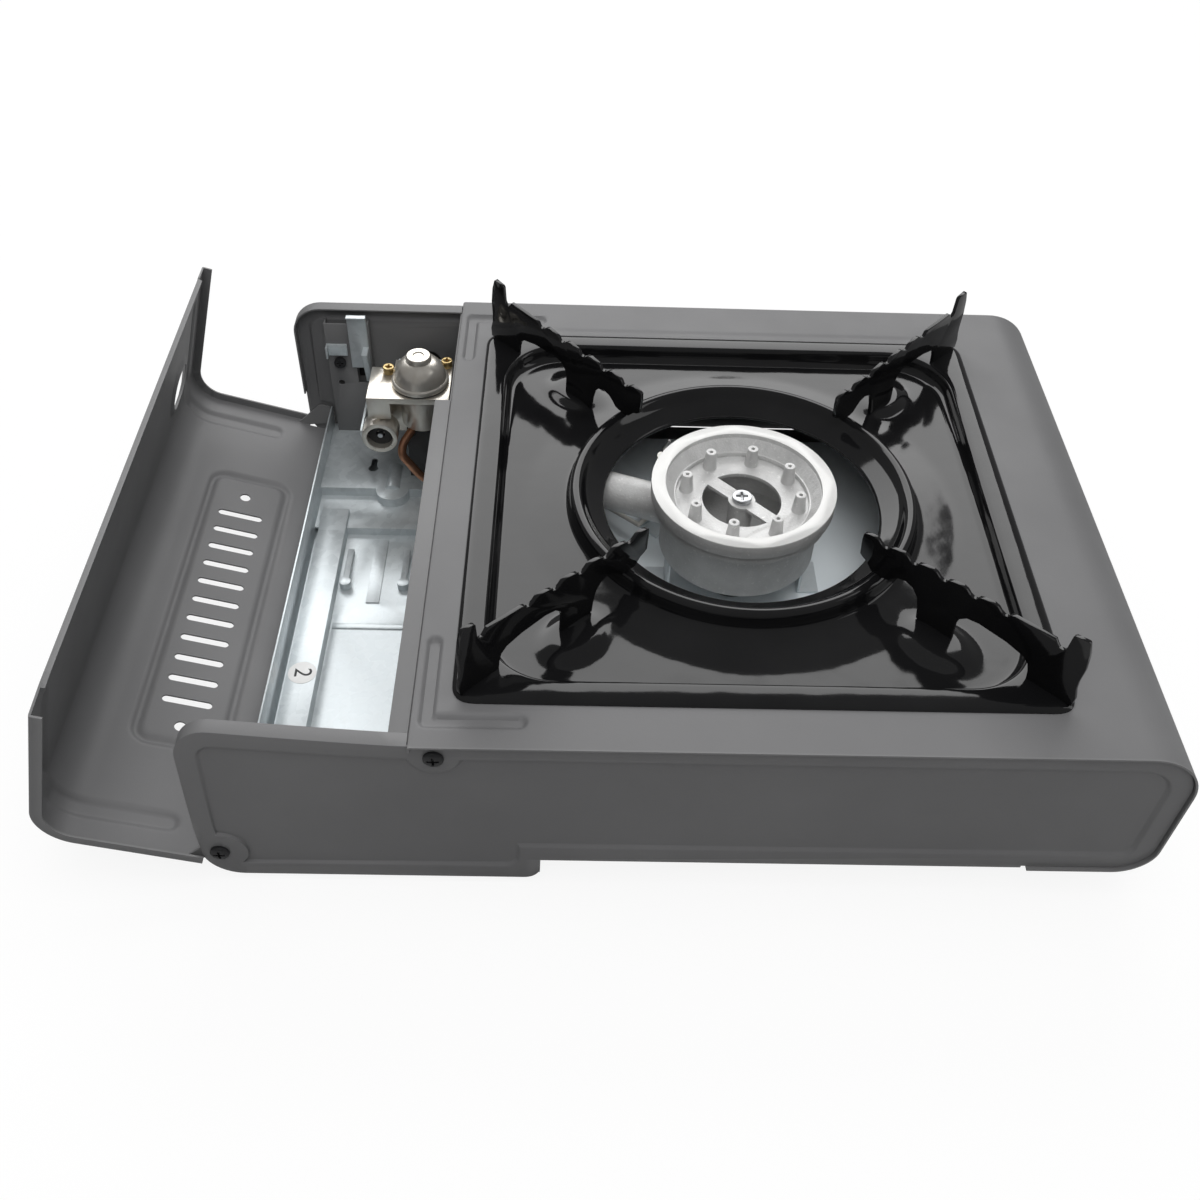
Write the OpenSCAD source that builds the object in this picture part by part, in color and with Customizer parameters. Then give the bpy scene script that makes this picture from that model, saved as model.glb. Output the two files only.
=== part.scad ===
// Tabletop gas stove for a screw-free butane cartridge, lid shown open.
// Lengths are in millimetres. Inside the modules X and Y are counted from
// the burner axis and Z from the table. -Y is the rear, +Y the control side,
// and the cartridge bay lies on the -X side.

/* [Body] */
// Width of the cartridge bay, from the seam to the left edge of the end panels
bay_w = 81; // [78:1:90]
// Burner axis to the seam between bay and burner housing
seam_reach = 122; // [118:1:126]
// Burner axis to the right side of the shell
right_reach = 151; // [144:1:170]
// Burner axis to the rear edge of the shell
rear_reach = 128; // [122:1:140]
// Burner axis to the front edge of the shell
front_reach = 135; // [133:1:145]
// Height of the top panel above the table
top_z = 86; // [82:1:92]
// Height of the underside of the burner housing
base_z = 16; // [14:1:18]
// Height of the underside of the cartridge bay
bay_z = 4; // [3:0.5:6]
// Thickness of the painted and galvanised sheet
sheet_t = 0.8; // [0.6:0.1:1]
// Outer radius of the shell's upper right corner
shell_r = 22; // [16:1:28]
// Outer radius of the shell's lower right corner
base_r = 14; // [10:1:18]
// Outer radius of the end panels' corners beside the bay
bay_r = 14; // [10:1:16]

/* [End panels] */
// How far the panels sit inside the shell's edges
panel_inset = 1.4; // [1.2:0.1:2]
// Width of the flat border round the recessed field
border_w = 6.5; // [5:0.5:8]
// Depth of the recessed field
recess = 1.5; // [1:0.1:2]
// Width of the flange over the bay
flange_w = 5; // [4:0.5:7]

/* [Lid] */
// Height of the lid pivot
pivot_z = 19; // [17.5:0.5:21]
// Pivot distance from the left edge of the end panels
pivot_in = 7; // [6:0.5:8]
// Angle that the lid stands open
lid_open = 74; // [60:1:78]
// Outer radius of the lid's corner
lid_r = 16; // [12:1:20]
// Number of vent slots
slot_count = 11; // [7:1:13]
// Distance between vent slots
slot_pitch = 11.2; // [9:0.1:12]
// Length of a vent slot
slot_l = 20; // [16:1:24]
// Width of a vent slot
slot_w = 3.4; // [2.5:0.1:4]

/* [Drip pan] */
// Side of the square pan
pan_w = 218; // [212:1:224]
// Height of the pan's rim above the top panel
rim_h = 2; // [1.5:0.1:3]
// Thickness of the enamelled sheet
pan_t = 1; // [0.8:0.1:1.2]
// Depth of the pan's field below the rim
field_d = 6.5; // [5:0.5:8]
// Width from the burner opening to the outside of the raised ring
ring_w = 12.7; // [12:0.1:14]
// Height of the raised ring above the rim
ring_h = 3.4; // [2.5:0.1:5]
// Radius of the burner opening
mouth_r = 57; // [54:0.5:59]
// Height of the pan supports above the rim, at their inner ends
support_h = 19; // [17:0.5:22]
// Height of the supports' outer tabs above the rim
tab_h = 30.5; // [27:0.5:34]
// Thickness of the supports
fin_t = 1.6; // [1.2:0.1:2]

/* [Burner] */
// Outer radius of the burner ring
head_r = 37; // [34:0.5:40]
// Height of the burner ring's face
head_z = 93.7; // [91:0.1:96]
// Number of jet posts
jet_count = 8; // [6:1:10]
// Radius of the circle of jet posts
jet_ring_r = 23; // [21:0.1:24]
// Height of the mixing tube's axis
tube_z = 71.5; // [69:0.5:71.5]
// Direction of the mixing tube
tube_angle = 160; // [156:1:164]
// Outer radius of the mixing tube
tube_r = 8; // [7:0.5:8]
// Height of the burner tray
tray_z = 40; // [36:1:44]

/* [Cartridge bay] */
// Distance from the shell's front edge to the cartridge stop
stop_in = 49; // [46:1:55]
// Radius of the gas cartridge
can_r = 34; // [33:0.5:34.5]
// Height of the rail that carries the cartridge
rail_z = 12; // [10:0.5:13]
// Outer radius of the cartridge connector
socket_r = 8.3; // [7.5:0.1:9]

/* [Controls] */
// Distance from the seam to the axis of knob and regulator
knob_in = 18; // [17:0.5:20]
// Height of the knob axis
knob_z = 54; // [52:1:56]
// Radius of the knob
knob_r = 18; // [15:0.5:19]
// Depth of the knob
knob_d = 17; // [14:1:20]
// Distance from the cartridge axis to the lock lever
lever_off = 13; // [12.5:0.1:13.5]
// Travel of the lock lever
lever_travel = 18; // [12:1:18]
// Travel of the cartridge connector
socket_travel = 6; // [4:0.5:7]

/* [Hidden] */
$fn = 64;
// running clearance of a pin in a sheet-metal hole
run_gap = 0.05;
// clearance between a sheet and what it slips into
slip = 0.3;

bay_reach = seam_reach + bay_w;
ring_r = mouth_r + ring_w;
stop_y = front_reach - stop_in;
panel_top = top_z - sheet_t - slip;
panel_right = right_reach - sheet_t - slip;
panel_left = -bay_reach;
step_x = -78;
tab_end = 105;
rear_face = -rear_reach + panel_inset;
front_face = front_reach - panel_inset;
rear_in = rear_face + recess + sheet_t;
front_in = front_face - recess - sheet_t;
pivot_x = panel_left + pivot_in;
seam_screw = [-seam_reach + 8.4, top_z - 7];
ear_r = 8;
pivot_ear_r = 9.5;
lid_notch = 5.5;

lid_side = panel_left - 2;
lid_edge = -seam_reach - 7.3;
lid_low = pivot_z - 6;

pan_h = pan_w / 2;
rim_z = top_z + rim_h;
field_z = rim_z - field_d;
ring_z = rim_z + ring_h;
well_h = pan_h - 9;
well_r = 24;
seat = 0.02;

bowl_r = head_r - 5;
bowl_top = head_z - 7.5;
dish_z = head_z - 10.2;
bowl_low = tube_z - tube_r - 1.5;
tube_end = 108;
can_x = -(bay_reach + seam_reach) / 2 + 3.5;
can_z = rail_z + can_r;
cup_y = stop_y - 5;
reg_x = -seam_reach - knob_in;
reg_y = stop_y + 11;
valve_y = stop_y + 26;
cover_z = knob_z + 10;
lever_x = lever_off - can_x;
deck_y = stop_y - 4;
deck_z = rail_z + 2;
link_h = 2;
wedge_slope = socket_travel / lever_travel;
guide_y = front_in - 5.3;
plate_y = guide_y - slip - 1;
tray_left = pivot_x + 4.5;
rail_right = tray_left + 16.1;
bridge = [-seam_reach + 64, right_reach - 55, rear_reach - 36];

// the open lid reaches furthest left, the knob furthest forward
lid_reach = -pivot_x + (lid_side + lid_r - pivot_x) * -cos(lid_open)
    + (top_z - lid_r - pivot_z) * sin(lid_open) + lid_r;
head_h = 2;
tray_screw_r = 1.5;
panel_screw_r = 1.6;
cover_screw_r = 1.5;
stem_r = 3;
bolt_r = 1.4;
spigot_r = 4;
wire_z = 34;
pipe = [stop_y - 6.5, 18.5];
pipe_r = 2;
arm_left = can_x - 4.7;
arm_right = can_x + 5.8;
knob_face = front_face - recess + 1;
frame_x = (lid_reach - right_reach) / 2;
frame_y = (head_h - rear_face - knob_face - knob_d) / 2;

// ---- shared helpers ----

// places the stove so that the origin is the middle of its footprint
module stove() {
    translate([frame_x, frame_y, 0]) children();
}

// extrudes an X-Z outline from y0 to y1
module along_y(y0, y1) {
    translate([0, y1, 0]) rotate([90, 0, 0]) linear_extrude(y1 - y0) children();
}

// box between two corners
module block(a, b) {
    translate(a) cube(b - a);
}

// rectangle with its own radius at each corner: r = [top left, top right, low right, low left]
module rounded(x0, z0, x1, z1, r) {
    difference() {
        translate([x0, z0]) square([x1 - x0, z1 - z0]);
        if (r[0] > 0) translate([x0 - 1, z1 - r[0]]) square(r[0] + 1);
        if (r[1] > 0) translate([x1 - r[1], z1 - r[1]]) square(r[1] + 1);
        if (r[2] > 0) translate([x1 - r[2], z0 - 1]) square(r[2] + 1);
        if (r[3] > 0) translate([x0 - 1, z0 - 1]) square(r[3] + 1);
    }
    if (r[0] > 0) translate([x0 + r[0], z1 - r[0]]) circle(r[0]);
    if (r[1] > 0) translate([x1 - r[1], z1 - r[1]]) circle(r[1]);
    if (r[2] > 0) translate([x1 - r[2], z0 + r[2]]) circle(r[2]);
    if (r[3] > 0) translate([x0 + r[3], z0 + r[3]]) circle(r[3]);
}

// quarter of a bent sheet, corner towards the angle a
module bend(c, r, a) {
    translate(c) rotate(a) intersection() {
        difference() {
            circle(r);
            circle(r - sheet_t);
        }
        square(r);
    }
}

// slot with round ends, centred, length l along X
module slot(l, w) {
    square([l - w, w], center = true);
    for (s = [-1, 1]) translate([s * (l - w) / 2, 0]) circle(w / 2);
}

// round bar through a list of points, with round ends
module bar(points, r) {
    for (i = [0 : len(points) - 2]) hull() {
        translate(points[i]) sphere(r, $fn = 20);
        translate(points[i + 1]) sphere(r, $fn = 20);
    }
}

// pan-head screw pointing along +Z, head below z = 0
module screw(r, l, head_r, head_h) {
    cylinder(h = l, r = r);
    difference() {
        translate([0, 0, -head_h]) cylinder(h = head_h, r = head_r);
        for (a = [0, 90]) rotate(a)
            translate([-head_r * 0.6, -0.4, -head_h - 1]) cube([head_r * 1.2, 0.8, 1 + head_h * 0.55]);
    }
}

// the four screws that hold the burner tray to the floor
module at_tray_screws() {
    for (x = [bridge[0] + 6, bridge[1] - 5], y = [12 - bridge[2], bridge[2] - 12])
        translate([x, y, base_z - 0.5]) children();
}

// the two screws of the regulator's cover, on its far corners
module at_cover_screws() {
    for (p = [[arm_right - 2.2, 7], [reg_x + 11.3, 13]])
        translate([p[0], reg_y + p[1], cover_z + 3]) children();
}

// ---- housing ----

module shell_profile() {
    translate([-seam_reach, top_z - sheet_t]) square([right_reach - shell_r + seam_reach, sheet_t]);
    translate([-seam_reach, top_z - 3]) square([sheet_t, 3]);
    bend([right_reach - shell_r, top_z - shell_r], shell_r, 0);
    translate([right_reach - sheet_t, base_z + base_r])
        square([sheet_t, top_z - shell_r - base_z - base_r]);
    bend([right_reach - base_r, base_z + base_r], base_r, 270);
    translate([tab_end, base_z]) square([right_reach - base_r - tab_end, sheet_t]);
}

// L-shaped bead beside the pan, corner at c, legs along +X and the way s
module corner_bead(c, s) {
    translate([c[0] + 22, c[1], top_z - sheet_t / 2]) linear_extrude(sheet_t) slot(50, 5);
    translate([c[0], c[1] + s * 22, top_z - sheet_t / 2]) linear_extrude(sheet_t)
        rotate(90) slot(50, 5);
}

module body_shell() stove() color([0.36, 0.36, 0.36]) {
    difference() {
        along_y(-rear_reach, front_reach) shell_profile();
        translate([0, 0, top_z - 5]) linear_extrude(6)
            rounded(-well_h, -well_h, well_h, well_h, [well_r, well_r, well_r, well_r]);
        corner_bead([-seam_reach + 7, -rear_reach + 12], 1);
        corner_bead([-seam_reach + 7, front_reach - 13], -1);
    }
    // the floor ends short of the end panels, which lap over it
    difference() {
        block([step_x + 1, rear_in, base_z], [tab_end, front_in, base_z + sheet_t]);
        at_tray_screws() cylinder(h = 2, r = tray_screw_r);
    }
    // turned-down edge round the well
    translate([0, 0, top_z - 4]) linear_extrude(4 - sheet_t) difference() {
        rounded(-well_h - sheet_t, -well_h - sheet_t, well_h + sheet_t, well_h + sheet_t,
            [for (i = [0 : 3]) well_r + sheet_t]);
        rounded(-well_h, -well_h, well_h, well_h, [well_r, well_r, well_r, well_r]);
    }
}

// end panel outline in X-Z, shrunk by d
module panel_outline(d) {
    rounded(panel_left + d, base_z + sheet_t + slip + d, panel_right - d, panel_top - d,
        [bay_r - d, shell_r - sheet_t - slip - d, base_r - sheet_t - slip - d, 0]);
    rounded(panel_left + d, bay_z + d, step_x - d, panel_top - d, [bay_r - d, 0, 6, bay_r - d]);
    if (d == 0) translate([step_x - 2, base_z]) square([tab_end - step_x, sheet_t + 2]);
}

// recessed field, shrunk by d, leaving the screw ears at border level
module panel_field(d) {
    difference() {
        panel_outline(border_w + d);
        translate(seam_screw) circle(ear_r + d);
        translate([pivot_x, pivot_z]) circle(pivot_ear_r + d);
    }
}

// end panel with its outer face at y = 0 and its inside towards +Y
module end_panel() {
    difference() {
        union() {
            along_y(0, sheet_t) difference() {
                panel_outline(0);
                panel_field(0);
            }
            along_y(0, recess + sheet_t) difference() {
                panel_field(0);
                panel_field(sheet_t);
            }
            along_y(recess, recess + sheet_t) panel_field(sheet_t);
            along_y(sheet_t, sheet_t + flange_w) intersection() {
                difference() {
                    panel_outline(0);
                    panel_outline(sheet_t);
                }
                translate([panel_left, pivot_z + 16])
                    square([-seam_reach - slip - panel_left, panel_top]);
            }
        }
        translate([seam_screw[0], 5, seam_screw[1]]) rotate([90, 0, 0]) cylinder(h = 10, r = panel_screw_r);
        translate([pivot_x, 5, pivot_z]) rotate([90, 0, 0]) cylinder(h = 10, r = 1.8);
    }
}

module rear_panel() stove() color([0.34, 0.35, 0.36]) {
    translate([0, rear_face, 0]) end_panel();
}

module front_panel() stove() color([0.34, 0.35, 0.36]) {
    difference() {
        translate([0, front_face, 0]) mirror([0, 1, 0]) end_panel();
        translate([reg_x, front_face + 1, knob_z]) rotate([90, 0, 0]) cylinder(h = 8, r = 6);
        block([-lever_x - 2.6, front_in - 1, 64 - lever_travel - 2], [-lever_x + 2.6, front_face + 1, 72]);
    }
}

// ---- cartridge bay ----

module bay_tray() stove() color([0.75, 0.78, 0.8]) {
    low = bay_z + sheet_t;
    step_z = 9;
    step_y = deck_y - 23;
    seam_in = -seam_reach - sheet_t;
    difference() {
        union() {
            // floor, left flange and the step up to the housing's floor
            block([tray_left, rear_in, bay_z], [step_x - sheet_t, front_in, low]);
            block([tray_left, rear_in, low], [tray_left + sheet_t, front_in, rail_z + 13]);
            block([step_x - sheet_t, rear_in, bay_z], [step_x, front_in, base_z + 2 * sheet_t]);
            block([step_x, rear_in, base_z + sheet_t], [step_x + 16, front_in, base_z + 2 * sheet_t]);
            // raised rail along the outer side
            block([tray_left + 3.5, rear_in, rail_z - sheet_t], [rail_right, deck_y - 13, rail_z]);
            for (x = [tray_left + 3.5, rail_right - sheet_t])
                block([x, rear_in, low], [x + sheet_t, deck_y - 13, rail_z - sheet_t]);
            // middle step, and the deck under the regulator with its rounded ridge
            block([tray_left + sheet_t, step_y, step_z - sheet_t], [seam_in, deck_y, step_z]);
            block([rail_right, step_y, low], [seam_in, step_y + sheet_t, step_z - sheet_t]);
            block([tray_left + sheet_t, deck_y, deck_z - sheet_t], [seam_in, front_in, deck_z]);
            block([tray_left + sheet_t, deck_y, step_z - 0.4], [seam_in, deck_y + sheet_t, deck_z]);
            translate([can_x + 3, deck_y, step_z - 0.4]) cylinder(h = deck_z - step_z + 0.4, r = 8);
            translate([can_x + 3, deck_y, deck_z - 2]) rotate([-90, 0, 0]) cylinder(h = 17, r = 4);
            // beads pressed up in the floor
            for (x = [rail_right + 17, rail_right + 37])
                block([x - 3, step_y - 45, low], [x + 3, step_y - 4, low + 0.6]);
            block([rail_right + 1, step_y - 61, low], [rail_right + 42, step_y - 58, low + 0.6]);
            for (x = [rail_right + 12, rail_right + 32])
                block([x - 6, rear_in + 6, low], [x + 6, rear_in + 9, low + 0.6]);
        }
        // key slot in the deck
        translate([can_x - 8, deck_y + 18, deck_z - 2]) linear_extrude(4) rotate(90) slot(9, 3);
        translate([can_x - 8, deck_y + 15, deck_z - 2]) cylinder(h = 4, r = 2.4);
    }
}

module tray_clips() stove() color([0.72, 0.75, 0.78]) {
    low = bay_z + sheet_t;
    for (x = [rail_right + 3.6, rail_right + 30]) {
        block([x - 1.4, deck_y - 56, low], [x + 1.4, deck_y - 36, low + 3]);
        translate([x, deck_y - 57.6, low]) cylinder(h = 3.6, r = 2.6);
    }
}

module rail_sticker() stove() color("white") {
    translate([rail_right - 6.1, rear_in + 90.3, rail_z]) cylinder(h = 0.15, r = 6);
}

module partition_wall() stove() color([0.36, 0.36, 0.36]) {
    difference() {
        union() {
            block([-seam_reach - sheet_t, rear_in, bay_z + sheet_t],
                [-seam_reach, front_in, panel_top - sheet_t]);
            // top strip, cut away beside the regulator
            block([-seam_reach - 7, rear_face + sheet_t + flange_w, panel_top - sheet_t],
                [-seam_reach - slip, reg_y - 36, panel_top]);
        }
        // way through for the gas tube and the ignition wire
        translate([-seam_reach - 5, pipe[0], pipe[1]]) rotate([0, 90, 0]) cylinder(h = 10, r = 4);
        translate([-seam_reach - 5, reg_y + 7, wire_z]) rotate([0, 90, 0]) cylinder(h = 10, r = 3);
    }
    // end tabs that the panel screws go into
    for (y = [rear_in, front_in - sheet_t]) difference() {
        block([-seam_reach, y, seam_screw[1] - 8], [seam_screw[0] + 6, y + sheet_t, top_z - 3.2]);
        translate([seam_screw[0], y + 2, seam_screw[1]]) rotate([90, 0, 0]) cylinder(h = 4, r = panel_screw_r);
    }
}

// ---- burner ----

// sheet-metal bridge whose turned-in feet stand on the housing's floor
module burner_tray() stove() color([0.7, 0.76, 0.78]) {
    floor_z = base_z + sheet_t;
    x0 = bridge[0];
    x1 = bridge[1];
    difference() {
        block([x0, -bridge[2], tray_z], [x1, bridge[2], tray_z + sheet_t]);
        translate([0, 0, tray_z - 1]) cylinder(h = 3, r = 12);
    }
    for (x = [x0, x1 - sheet_t]) block([x, -bridge[2], floor_z], [x + sheet_t, bridge[2], tray_z]);
    difference() {
        for (x = [x0 + sheet_t, x1 - 10])
            block([x, -bridge[2], floor_z], [x + 10 - sheet_t, bridge[2], floor_z + sheet_t]);
        at_tray_screws() cylinder(h = 3, r = tray_screw_r);
    }
}

// strap on each side that carries the bowl
module burner_brackets() stove() color([0.7, 0.76, 0.78]) {
    foot = tray_z + sheet_t;
    for (s = [-1, 1]) {
        y0 = s < 0 ? -14 : -9;
        block([s * 28 - 0.6, y0, foot + 1.2], [s * 28 + 0.6, y0 + 18, bowl_low]);
        block([s * 32 - 4.6, y0, foot], [s * 32 + 4.6, y0 + 18, foot + 1.2]);
    }
}

module burner_bowl() stove() color([0.55, 0.56, 0.57]) {
    difference() {
        union() {
            translate([0, 0, bowl_low]) cylinder(h = bowl_top - bowl_low, r = bowl_r);
            translate([0, 0, bowl_top - 3]) cylinder(h = 3, r = head_r - 1.5);
        }
        translate([0, 0, bowl_low + 3]) cylinder(h = bowl_top, r = bowl_r - 3);
        translate([0, 0, tube_z]) rotate([0, 90, tube_angle]) cylinder(h = bowl_r * 2, r = tube_r);
    }
    // boss for the centre screw
    difference() {
        translate([0, 0, bowl_low + 3]) cylinder(h = dish_z - bowl_low - 3, r = 5);
        translate([0, 0, bowl_top - 20]) cylinder(h = 20, r = 1.9);
    }
}

module mixing_tube() stove() color([0.5, 0.51, 0.52]) {
    translate([0, 0, tube_z]) rotate([0, 0, tube_angle]) {
        difference() {
            rotate([0, 90, 0]) cylinder(h = tube_end, r = tube_r);
            rotate([0, 90, 0]) cylinder(h = tube_end + 1, r = tube_r - 2);
            translate([0, 0, -tube_r - 1]) cylinder(h = 2 * tube_r + 2, r = bowl_r - 3);
        }
    }
}

// sleeve with windows that holds the jet in front of the tube
module air_shutter() stove() color([0.72, 0.75, 0.78]) {
    translate([0, 0, tube_z]) rotate([0, 0, tube_angle]) difference() {
        translate([tube_end - 10, 0, 0]) rotate([0, 90, 0]) cylinder(h = 18, r = tube_r + 1);
        translate([tube_end - 11, 0, 0]) rotate([0, 90, 0]) cylinder(h = 18, r = tube_r);
        translate([tube_end - 11, 0, 0]) rotate([0, 90, 0]) cylinder(h = 22, r = 3);
        for (a = [0, 90]) rotate([a, 0, 0])
            block([tube_end + 1, -5, -tube_r - 3], [tube_end + 5, 5, tube_r + 3]);
    }
}

module gas_jet() stove() color([0.78, 0.62, 0.3]) {
    translate([0, 0, tube_z]) rotate([0, 0, tube_angle]) difference() {
        union() {
            translate([tube_end + 2, 0, 0]) rotate([0, 90, 0]) cylinder(h = 6, r = 3);
            translate([tube_end + 8, 0, 0]) rotate([0, 90, 0]) cylinder(h = 4, r = 5, $fn = 6);
        }
        translate([tube_end + 1, 0, 0]) rotate([0, 90, 0]) cylinder(h = 12, r = 0.6);
    }
}

module jet_post() {
    difference() {
        cylinder(h = 9, r1 = 2.9, r2 = 2.1);
        translate([0, 0, 4]) cylinder(h = 7, r = 0.75);
    }
}

module burner_head() stove() color([0.72, 0.72, 0.72]) {
    difference() {
        translate([0, 0, bowl_top]) cylinder(h = head_z - bowl_top, r = head_r);
        translate([0, 0, bowl_top - 1]) difference() {
            cylinder(h = 2.5, r = head_r + 1);
            translate([0, 0, -1]) cylinder(h = 5, r = head_r - 4.5);
        }
        // dished inside, down to the floor that the posts stand on
        translate([0, 0, bowl_top - 1]) cylinder(h = head_z - bowl_top - 0.8, r1 = bowl_r - 6, r2 = head_r - 5.7);
        translate([0, 0, head_z - 2]) cylinder(h = 3, r = head_r - 5.7);
    }
    // dish with two openings, a bar across and the screw boss
    difference() {
        union() {
            translate([0, 0, dish_z]) difference() {
                cylinder(h = 1.6, r = bowl_r - 3.1);
                translate([0, 0, -1]) cylinder(h = 4, r = 16);
            }
            translate([0, 0, bowl_top]) difference() {
                cylinder(h = 1, r = head_r - 5);
                translate([0, 0, -1]) cylinder(h = 4, r = bowl_r - 5);
            }
            translate([0, 0, dish_z]) difference() {
                cylinder(h = bowl_top + 1 - dish_z, r = bowl_r - 3.1);
                translate([0, 0, -1]) cylinder(h = 10, r = bowl_r - 5);
            }
            translate([0, 0, dish_z]) rotate(-45) translate([-18, -3, 0]) cube([36, 6, 1.6]);
            translate([0, 0, dish_z]) cylinder(h = 1.6, r = 5.5);
            for (i = [0 : jet_count - 1]) rotate(31 + i * 360 / jet_count)
                translate([jet_ring_r, 0, dish_z + 0.8]) jet_post();
        }
        translate([0, 0, dish_z - 1]) cylinder(h = 4, r = 2.2);
    }
}

module burner_screw() stove() color([0.8, 0.8, 0.8]) {
    translate([0, 0, dish_z + 1.6]) mirror([0, 0, 1]) screw(1.9, 14, 4, 2);
}

// ---- ignition ----

module electrode_bracket() stove() color([0.7, 0.76, 0.78]) {
    foot = tray_z + sheet_t;
    rotate(135) {
        block([38, -6, foot], [52, 6, foot + 1.2]);
        block([46.8, -6, foot + 1.2], [48, 6, 66]);
        difference() {
            block([40, -6, 64.8], [46.8, 6, 66]);
            translate([43, 0, 60]) cylinder(h = 10, r = 2.6);
        }
    }
}

module electrode_ceramic() stove() color("white") {
    rotate(135) translate([43, 0, 56]) difference() {
        union() {
            cylinder(h = 26, r = 2.6);
            translate([0, 0, 10]) cylinder(h = 3, r = 3.6);
        }
        translate([0, 0, -1]) cylinder(h = 30, r = 0.8);
    }
}

module electrode_rod() stove() color([0.6, 0.6, 0.6]) {
    rotate(135) bar([[43, 0, 54.8], [43, 0, 86], [40.5, 0, 91]], 0.8);
}

module ignition_wire() stove() color([0.85, 0.85, 0.8]) {
    c = [43 * cos(135), 43 * sin(135)];
    bar([[reg_x + 9, reg_y + 7, wire_z], [-seam_reach + 6, reg_y + 7, wire_z], [-90, 70, 30], [-64, 44, 48],
        [c[0] - 9, c[1] - 9, 50], [c[0], c[1], 53]], 1);
}

module piezo_igniter() stove() color([0.12, 0.12, 0.12]) {
    block([reg_x - 8, reg_y - 5, deck_z], [reg_x + 8, reg_y + 15, deck_z + 28]);
    translate([reg_x, reg_y + 15, deck_z + 17]) rotate([-90, 0, 0]) cylinder(h = 16, r = 4);
}

// ---- regulator and valve ----

// outside of the pressure chamber, widening to the cover plate
module regulator_boss() {
    translate([reg_x, reg_y, knob_z - 8]) cylinder(h = 9, r = 10);
    translate([reg_x, reg_y, knob_z + 1]) cylinder(h = cover_z - knob_z - 1, r1 = 10, r2 = 13);
}

module regulator_body() stove() color([0.78, 0.74, 0.66]) {
    difference() {
        union() {
            regulator_boss();
            block([arm_right, reg_y - 13, cover_z], [reg_x + 14, reg_y + 17, cover_z + 3]);
            // arm with its drop plate over the connector
            block([arm_left, reg_y - 13, cover_z], [arm_right, reg_y + 11, cover_z + 3]);
            block([arm_left, reg_y - 13, can_z + socket_r + 1], [arm_right, reg_y - 10.5, cover_z]);
            block([can_x - 7, reg_y - 1, can_z - 7], [reg_x - 8, reg_y + 13, can_z + 12]);
            block([arm_left, reg_y - 1, can_z + 12], [arm_left + 4, reg_y + 11, cover_z]);
        }
        // spring chamber, room for the connector cup, connector bore and screw holes
        translate([reg_x, reg_y, knob_z - 4]) cylinder(h = 30, r = 7.5);
        translate([can_x, cup_y - 11, can_z]) rotate([-90, 0, 0]) cylinder(h = 22, r = socket_r + 0.6);
        translate([can_x, cup_y + 9, can_z]) rotate([-90, 0, 0]) cylinder(h = 18, r = spigot_r + run_gap);
        at_cover_screws() translate([0, 0, -4]) cylinder(h = 5, r = cover_screw_r);
    }
}

module regulator_diaphragm() stove() color([0.15, 0.15, 0.15]) {
    translate([reg_x, reg_y, cover_z + 3]) cylinder(h = 0.8, r = 12.6);
}

module regulator_dome() stove() color([0.82, 0.78, 0.7]) {
    translate([reg_x, reg_y, cover_z + 3.8]) rotate_extrude() difference() {
        polygon([[0, 0], [13.2, 0], [13.2, 2], [12.4, 3], [11, 7.4], [8, 11], [5.8, 12], [5.6, 14.5], [0, 14.5]]);
        translate([0, -1]) square([6.4, 10]);
    }
}

module regulator_spring() stove() color([0.6, 0.6, 0.6]) {
    for (i = [0 : 4]) translate([reg_x, reg_y, cover_z + 5 + i * 1.7]) rotate_extrude()
        translate([5, 0]) circle(0.7);
}

module regulator_screws() stove() color([0.85, 0.7, 0.35]) {
    at_cover_screws() mirror([0, 0, 1]) screw(cover_screw_r, 4, 2.6, 3.5);
}

module regulator_bracket() stove() color([0.7, 0.76, 0.78]) {
    y0 = reg_y + 17;
    for (x = [reg_x - 12, reg_x + 9]) block([x, y0, deck_z], [x + 3, y0 + 1.2, cover_z + 3]);
    block([reg_x - 12, y0, cover_z - 2], [reg_x + 12, y0 + 1.2, cover_z + 3]);
}

module valve_body() stove() color([0.78, 0.66, 0.4]) {
    difference() {
        translate([reg_x, reg_y + 8, knob_z]) rotate([-90, 0, 0]) cylinder(h = valve_y + 14 - reg_y - 8, r = 8);
        regulator_boss();
        translate([reg_x, valve_y + 4, knob_z]) rotate([-90, 0, 0]) cylinder(h = 20, r = stem_r + run_gap);
    }
}

// runs low past the cartridge's end, through the wall and up to the jet
module gas_tube() stove() color([0.72, 0.42, 0.25]) {
    back = tube_end + 12;
    jet = [cos(tube_angle), sin(tube_angle)];
    bar([[reg_x - 5, reg_y - 7, knob_z - 8 - pipe_r], [reg_x - 9.8, stop_y - 5.5, can_z - 7.2],
        [reg_x - 6.2, stop_y - 5.5, can_z - 14.3], [reg_x - 1, stop_y - 5.5, can_z - 22],
        [reg_x + 5, stop_y - 5.5, pipe[1] + 0.6], [-seam_reach + 4, pipe[0], pipe[1]],
        [(back + 4) * jet[0], 58, pipe[1] + 6], [(back + 4) * jet[0], (back + 4) * jet[1], 44],
        [(back + 4) * jet[0], (back + 4) * jet[1], tube_z],
        [(back + pipe_r) * jet[0], (back + pipe_r) * jet[1], tube_z]], pipe_r);
}

// connector cup and its spigot that slides in the regulator
module can_connector() stove() color([0.7, 0.72, 0.74]) {
    translate([can_x, cup_y, can_z]) rotate([-90, 0, 0]) difference() {
        union() {
            cylinder(h = 10, r = socket_r);
            translate([0, 0, 10]) cylinder(h = 17, r = spigot_r);
        }
        translate([0, 0, -1]) cylinder(h = 7, r = socket_r - 2.3);
        translate([0, 0, 5]) cylinder(h = 30, r = 1.2);
    }
}

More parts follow.
